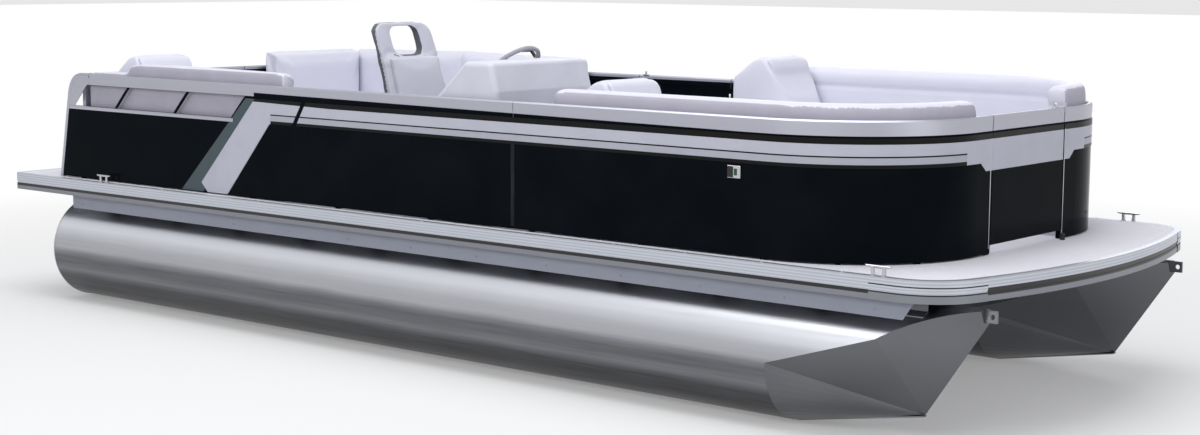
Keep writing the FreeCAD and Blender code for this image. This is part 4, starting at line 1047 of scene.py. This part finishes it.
class PONTOON_OT_fence_trim(Operator):
    """Adds the slanted stripes, window rails, bent end tubes and gate bands"""
    bl_idname = "pontoon.fence_trim"
    bl_label = "Fence trim"

    def execute(self, context):
        settle_both(slanted_stripe(), "stripe", "teal")
        rail = slab((WINDOW_RUN[0], -SIDE - WINDOW_PROUD, BAND_FOOT + WINDOW_LEVELS[0]),
                    (WINDOW_RUN[1], -SIDE + LET_IN, BAND_FOOT + WINDOW_LEVELS[1]), 0.002)
        settle_both(rail, "window_rail", "rail")
        levels = [(x, DECK_TOP + rise) for x, rise in TUBE_RISE]
        levels += [(x, RAIL_TOP - TUBE_DROP + drop) for x, drop in TUBE_BEND]
        tube = bent_bar([(x, TUBE_INSET - SIDE, z) for x, z in levels], TUBE_RADIUS)
        settle_both(tube, "end_tube", "rail")
        low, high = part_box("bow_gate")
        plate = slab((high.x - 0.0005, low.y + GATE_MARGIN, BAND_FOOT - BOW_BAND_DROP),
                     (high.x + 0.0006, high.y - GATE_MARGIN, BAND_TOP))
        settle(plate, "bow_gate_band", "band", "bow_gate")
        low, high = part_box("side_gate")
        plate = slab((low.x + GATE_MARGIN, high.y - 0.0005, BAND_FOOT),
                     (high.x - GATE_MARGIN, high.y + 0.0006, BAND_TOP))
        settle(plate, "side_gate_band", "band", "side_gate")
        return {"FINISHED"}


# Small parts

WELD_PLACE = 0.09
PLUG_DROP = 0.22
END_ROOM = 0.3
SKIRT_SCREWS = 12
EDGE_SCREWS = 14
MEMBER_HALF = 0.02
MEMBER_BAYS = 11
BOLT_INSET = 0.012


def met(node_name, start, towards):
    """Point and outward normal where a ray meets a CAD node, or nothing where it misses."""
    direction = Vector(towards).normalized()
    hit, point, normal, _ = frame["nodes"][node_name].ray_cast(Vector(start), direction)
    return (point, normal) if hit else None


def on_surface(node_name, start, towards):
    """The same for a node that has to lie there."""
    found = met(node_name, start, towards)
    if not found:
        raise RuntimeError("Nothing of %s lies there" % node_name)
    return found


def stud(point, normal, radius, height, sides=16):
    """Round head that stands on a surface, with an eased rim."""
    return rod(point - normal * 0.0015, point + normal * height, radius, sides, height * 0.35)


def studs_where_met(node_name, starts, towards, radius, height, sides):
    """Heads wherever rays from the given places meet a node, as one piece."""
    found = [met(node_name, start, towards) for start in starts]
    return joined([stud(*place, radius, height, sides) for place in found if place])


def screw_row(node_name, start, towards, radius, height, count):
    """A first screw head where a ray meets a long member, and equal steps to the others."""
    low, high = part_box(node_name)
    screw = stud(*on_surface(node_name, start, towards), radius, height)
    pitch = (high.x - low.x - END_ROOM) / count
    return joined([screw] + [copied(screw, (pitch * index, 0, 0)) for index in range(1, count + 1)])


class PONTOON_OT_hull_details(Operator):
    """Adds the after welds and drain plugs of the tubes, the riser bolts and the screws of skirt and edge"""
    bl_idname = "pontoon.hull_details"
    bl_label = "Hull details"

    def execute(self, context):
        sizes = context.scene.pontoon_sizes
        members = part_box("cross_members")
        bay = (members[1].x - members[0].x - 2 * MEMBER_HALF) / MEMBER_BAYS
        for side, word in SIDES:
            low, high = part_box("tube_" + word)
            radius = (high.y - low.y) / 2
            middle = Vector((low.x, (low.y + high.y) / 2, high.z - radius))
            bpy.ops.object.select_all(action="DESELECT")
            bpy.ops.mesh.primitive_torus_add(
                location=middle + Vector((WELD_PLACE, 0, 0)), rotation=(0, math.pi / 2, 0),
                major_radius=radius, minor_radius=sizes.weld_radius, major_segments=96, minor_segments=8)
            bpy.ops.object.shade_smooth()
            settle(bpy.context.object, "tube_weld_" + word, "weld", "hull")
            place = on_surface("tube_" + word, middle - Vector((0.5, 0, PLUG_DROP)), (1, 0, 0))
            plug = joined([stud(*place, 0.022, 0.006, 24), stud(*place, 0.012, 0.016, 6)])
            settle(plug, "drain_plug_" + word, "steel", "hull")
            low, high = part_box("skirt_" + word)
            start = (low.x + 0.1, side * 2, low.z + 0.03)
            row = screw_row("skirt_" + word, start, (0, -side, 0), sizes.screw_radius, 0.0025, SKIRT_SCREWS)
            settle(row, "skirt_screws_" + word, "skirt", "hull")
            low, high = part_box("edge_rail_" + word)
            start = (low.x + END_ROOM / 2, (low.y + high.y) / 2, 2)
            row = screw_row("edge_rail_" + word, start, DOWN, sizes.screw_radius, 0.0022, EDGE_SCREWS)
            settle(row, "edge_screws_" + word, "steel", "hull")
            low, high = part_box("riser_" + word)
            edges = (low.y + BOLT_INSET, high.y - BOLT_INSET)
            starts = [(members[0].x + MEMBER_HALF + bay * index, edge, low.z - 0.2)
                      for index in range(1, MEMBER_BAYS) for edge in edges]
            bolts = studs_where_met("riser_" + word, starts, UP, 0.008, 0.007, 6)
            settle(bolts, "riser_bolts_" + word, "steel", "hull")
        return {"FINISHED"}


# Runs of the light's housing and lens along the boat, then their reach out, margin and easing
LIGHT_PIECES = (("light_housing_", (0.003, 0.034), 0.002, 0.004, 0.0008),
                ("light_lens_", (0.040, 0.056), 0.003, 0.014, 0.0012))
LIGHT_SCREW_MARGIN = 0.010
HINGE_RADIUS = 0.008
HINGE_LENGTH = 0.07
HINGE_LIFT = 0.12
HINGE_DROP = 0.16
LATCH_INSET = 0.05
LATCH_HALF = (0.022, 0.010)


def light_fittings(side, word, lens):
    """Housing, lens and screws on the outer face of one side light."""
    low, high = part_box("side_lights")
    for (name, run, reach, margin, ease), key in zip(LIGHT_PIECES, ("black", lens)):
        edges = sorted((side * high.y, side * (high.y + reach)))
        piece = slab((low.x + run[0], edges[0], low.z + margin),
                     (low.x + run[1], edges[1], high.z - margin), ease)
        settle(piece, name + word, key, "hull")
    screws = [stud(Vector((high.x - 0.008, side * high.y, level)), Vector((0, side, 0)), 0.0035, 0.0015)
              for level in (low.z + LIGHT_SCREW_MARGIN, high.z - LIGHT_SCREW_MARGIN)]
    settle(joined(screws), "light_screws_" + word, "steel", "hull")


def latch(name, centre, half):
    """Plate and lever of a gate latch."""
    reach = Vector((*half, 0))
    plate = slab(centre - reach - UP * 0.001, centre + reach + UP * 0.004, 0.0015)
    lever = rod(centre + UP * 0.003, centre + UP * 0.026, 0.0065, 20, 0.002)
    settle(joined([plate, lever]), name + "_latch", "bright", name)


class PONTOON_OT_fittings(Operator):
    """Adds the light lenses, fence joint strips, gate hinges and gate latches"""
    bl_idname = "pontoon.fittings"
    bl_label = "Fittings"

    def execute(self, context):
        for (side, word), lens in zip(SIDES, ("green", "red")):
            light_fittings(side, word, lens)
        strip = slab((FENCE_LOW.x - 0.014, -SIDE - 0.0014, DECK_TOP + 0.02),
                     (FENCE_LOW.x + 0.010, -SIDE + 0.001, BAND_FOOT + FOOT_EDGE), 0.0006)
        settle(strip, "fence_joint_starboard", "joint", "hull")
        low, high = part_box("bow_gate")
        strips = [slab((high.x - 0.002, place - 0.003, DECK_TOP + 0.03),
                       (high.x + 0.0012, place + 0.003, BAND_TOP - 0.025), 0.0006)
                  for place in (low.y - 0.0065, high.y + 0.0085)]
        settle(joined(strips), "bow_gate_strips", "bright", "hull")
        for joint in frame["joints"]:
            if joint["child"].endswith("_gate"):
                x, y, _ = joint["pos_m"]
                barrels = [rod((x, y, foot), (x, y, foot + HINGE_LENGTH), HINGE_RADIUS, 20, 0.0015)
                           for foot in (DECK_TOP + HINGE_LIFT, RAIL_TOP - HINGE_DROP)]
                settle(joined(barrels), joint["child"] + "_hinges", "steel", "hull")
        latch("bow_gate", Vector(((low.x + high.x) / 2, high.y - LATCH_INSET, high.z)), LATCH_HALF[::-1])
        low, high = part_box("side_gate")
        latch("side_gate", Vector((low.x + LATCH_INSET, (low.y + high.y) / 2, high.z)), LATCH_HALF)
        low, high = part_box("stern_gate")
        latch("stern_gate", Vector(((low.x + high.x) / 2, low.y + LATCH_INSET, high.z)), LATCH_HALF[::-1])
        return {"FINISHED"}


# Gauges by their place across the dash, their place up it from the wheel's axis, and their radius
GAUGES = ((-0.14, 0.035, 0.034), (0.0, 0.115, 0.03), (0.12, 0.06, 0.026))
SWITCH_START, SWITCH_DROP = -0.25, 0.055
SWITCH_PITCH = 0.024
SWITCHES = 5
OFF_DASH = 0.4


class PONTOON_OT_helm(Operator):
    """Adds the wheel's hub cap and the plain gauges and switches on the dash"""
    bl_idname = "pontoon.helm"
    bl_label = "Helm"

    def execute(self, context):
        steering = [joint for joint in frame["joints"] if joint["child"] == "steering"][0]
        pivot, axis = Vector(steering["pos_m"]), Vector(steering["axis"])
        point, _ = on_surface("steering_wheel", pivot + axis * OFF_DASH, -axis)
        cap = joined([stud(point, axis, 0.034, 0.006, 32),
                      stud(point + axis * 0.005, axis, 0.022, 0.004, 32)])
        settle(cap, "wheel_hub_cap", "bright", "steering")
        up_dash = Vector((axis.z, 0, -axis.x))
        dials, rims = [], []
        for across, along, radius in GAUGES:
            start = pivot + axis * OFF_DASH + up_dash * along + Vector((0, across, 0))
            point, normal = on_surface("helm_console", start, -axis)
            rims.append(stud(point, normal, radius, 0.006, 32))
            dials.append(stud(point + normal * 0.0045, normal, radius * 0.86, 0.0025, 32))
        settle(joined(rims), "gauge_rims", "bright", "hull")
        settle(joined(dials), "gauge_faces", "black", "hull")
        row = pivot + axis * OFF_DASH - up_dash * SWITCH_DROP
        starts = [row + Vector((0, SWITCH_START + SWITCH_PITCH * index, 0)) for index in range(SWITCHES)]
        switches = studs_where_met("helm_console", starts, -axis, 0.008, 0.006, 20)
        settle(switches, "dash_switches", "black", "hull")
        return {"FINISHED"}


# Camera, floor and light

CAMERA_YAW, CAMERA_PITCH, CAMERA_ROLL = math.radians(39.645), math.radians(7.265), math.radians(0.315)
CAMERA_PLACE = (7.5513, -8.6989, 2.1408)
CAMERA_LENS = 59.293
FLOOR_SIZE = 160
FLOOR_FADE = (3.6, 8.5)
# Name, place, aim, width and depth, and power of each lamp
LAMPS = (("overhead", (0.5, -1.5, 9.0), (0.0, 0.0, 0.8), (11.0, 6.0), 620),
         ("key", (2.5, -11.0, 6.0), (0.0, -0.5, 0.8), (9.0, 4.0), 420),
         ("bow_fill", (12.0, -1.0, 4.0), (1.5, 0.0, 0.8), (4.0, 4.0), 160),
         ("port_fill", (-3.0, 10.0, 6.0), (0.0, 0.0, 0.8), (8.0, 4.0), 220))


def camera_matrix():
    """Place and turn of the camera from its yaw, pitch and roll."""
    level = math.cos(CAMERA_PITCH)
    look = Vector((-math.sin(CAMERA_YAW) * level, math.cos(CAMERA_YAW) * level, -math.sin(CAMERA_PITCH)))
    right = Vector((math.cos(CAMERA_YAW), math.sin(CAMERA_YAW), 0))
    upward = right.cross(look)
    across = right * math.cos(CAMERA_ROLL) + upward * math.sin(CAMERA_ROLL)
    above = upward * math.cos(CAMERA_ROLL) - right * math.sin(CAMERA_ROLL)
    return Matrix.Translation(CAMERA_PLACE) @ Matrix((across, above, -look)).transposed().to_4x4()


def blend_shaders(tree, factor, first, second, end):
    """Show one shader or another at the end node of a tree."""
    blend = node(tree, "ShaderNodeMixShader")
    for source, socket in zip((factor, first.outputs[0], second.outputs[0]), blend.inputs):
        tree.links.new(source, socket)
    tree.links.new(blend.outputs[0], tree.nodes[end].inputs["Surface"])


def add_floor():
    bpy.ops.mesh.primitive_plane_add(size=FLOOR_SIZE, location=(0, 0, 0))
    floor = bpy.context.object
    floor.name = "floor"
    material = bpy.data.materials.new("Pale floor")
    material.use_nodes = True
    tree = material.node_tree
    shader = feed(tree, tree.nodes["Principled BSDF"], Base_Color=(0.8, 0.8, 0.8, 1), Roughness=0.9,
                  Specular_IOR_Level=0.1)
    away = node(tree, "ShaderNodeVectorMath", operation="LENGTH")
    tree.links.new(tree.nodes.new("ShaderNodeTexCoord").outputs["Object"], away.inputs[0])
    fade = both(tree, remap(tree, away.outputs["Value"], *FLOOR_FADE, 0.25, 1.0), seen_rays(tree))
    white = feed(tree, node(tree, "ShaderNodeEmission"), Strength=1.0)
    blend_shaders(tree, fade, shader, white, "Material Output")
    floor.data.materials.append(material)


def add_world(scene):
    world = bpy.data.worlds.new("Studio")
    scene.world = world
    world.use_nodes = True
    tree = world.node_tree
    ambient = feed(tree, tree.nodes["Background"], Color=(0.93, 0.95, 1.0, 1), Strength=0.42)
    white = feed(tree, node(tree, "ShaderNodeBackground"), Strength=1.0)
    blend_shaders(tree, seen_rays(tree), ambient, white, "World Output")


class PONTOON_OT_stage(Operator):
    """Sets the camera, the plain floor and the soft studio light"""
    bl_idname = "pontoon.stage"
    bl_label = "Stage"

    def execute(self, context):
        nothing_selected()
        bpy.ops.object.camera_add()
        camera = context.object
        camera.name = "photo_camera"
        camera.matrix_world = camera_matrix()
        camera.data.sensor_fit = "HORIZONTAL"
        camera.data.sensor_width = 36
        camera.data.lens = CAMERA_LENS
        camera.data.clip_end = 200
        context.scene.camera = camera
        add_floor()
        add_world(context.scene)
        for name, place, aim, size, power in LAMPS:
            bpy.ops.object.light_add(type="AREA", location=place)
            lamp = context.object
            lamp.name = name
            lamp.data.shape = "RECTANGLE"
            lamp.data.size, lamp.data.size_y = size
            lamp.data.energy = power
            lamp.rotation_euler = (Vector(aim) - Vector(place)).to_track_quat("-Z", "Y").to_euler()
        context.scene.view_settings.view_transform = "Standard"
        return {"FINISHED"}


STEPS = (PONTOON_OT_stage, PONTOON_OT_finishes, PONTOON_OT_cushions, PONTOON_OT_fence_trim,
         PONTOON_OT_hull_details, PONTOON_OT_fittings, PONTOON_OT_helm)


class PONTOON_PT_panel(Panel):
    """Lists the steps and settings of the boat's finish"""
    bl_idname = "PONTOON_PT_panel"
    bl_label = "Pontoon Boat"
    bl_space_type = "VIEW_3D"
    bl_region_type = "UI"
    bl_category = "Pontoon Boat"

    def draw(self, context):
        layout = self.layout
        for step in STEPS:
            layout.operator(step.bl_idname)
        for group in (context.scene.pontoon_sizes, context.scene.pontoon_colours):
            box = layout.box()
            for name in group.bl_rna.properties.keys():
                if name not in ("rna_type", "name"):
                    box.prop(group, name)


CLASSES = (PONTOON_PG_colours, PONTOON_PG_sizes) + STEPS + (PONTOON_PT_panel,)


def register():
    for entry in CLASSES:
        bpy.utils.register_class(entry)
    bpy.types.Scene.pontoon_colours = PointerProperty(type=PONTOON_PG_colours)
    bpy.types.Scene.pontoon_sizes = PointerProperty(type=PONTOON_PG_sizes)


def unregister():
    del bpy.types.Scene.pontoon_sizes
    del bpy.types.Scene.pontoon_colours
    for entry in reversed(CLASSES):
        bpy.utils.unregister_class(entry)


def main():
    register()
    for step in STEPS:
        group, action = step.bl_idname.split(".")
        getattr(getattr(bpy.ops, group), action)()


if __name__ == "__main__":
    main()
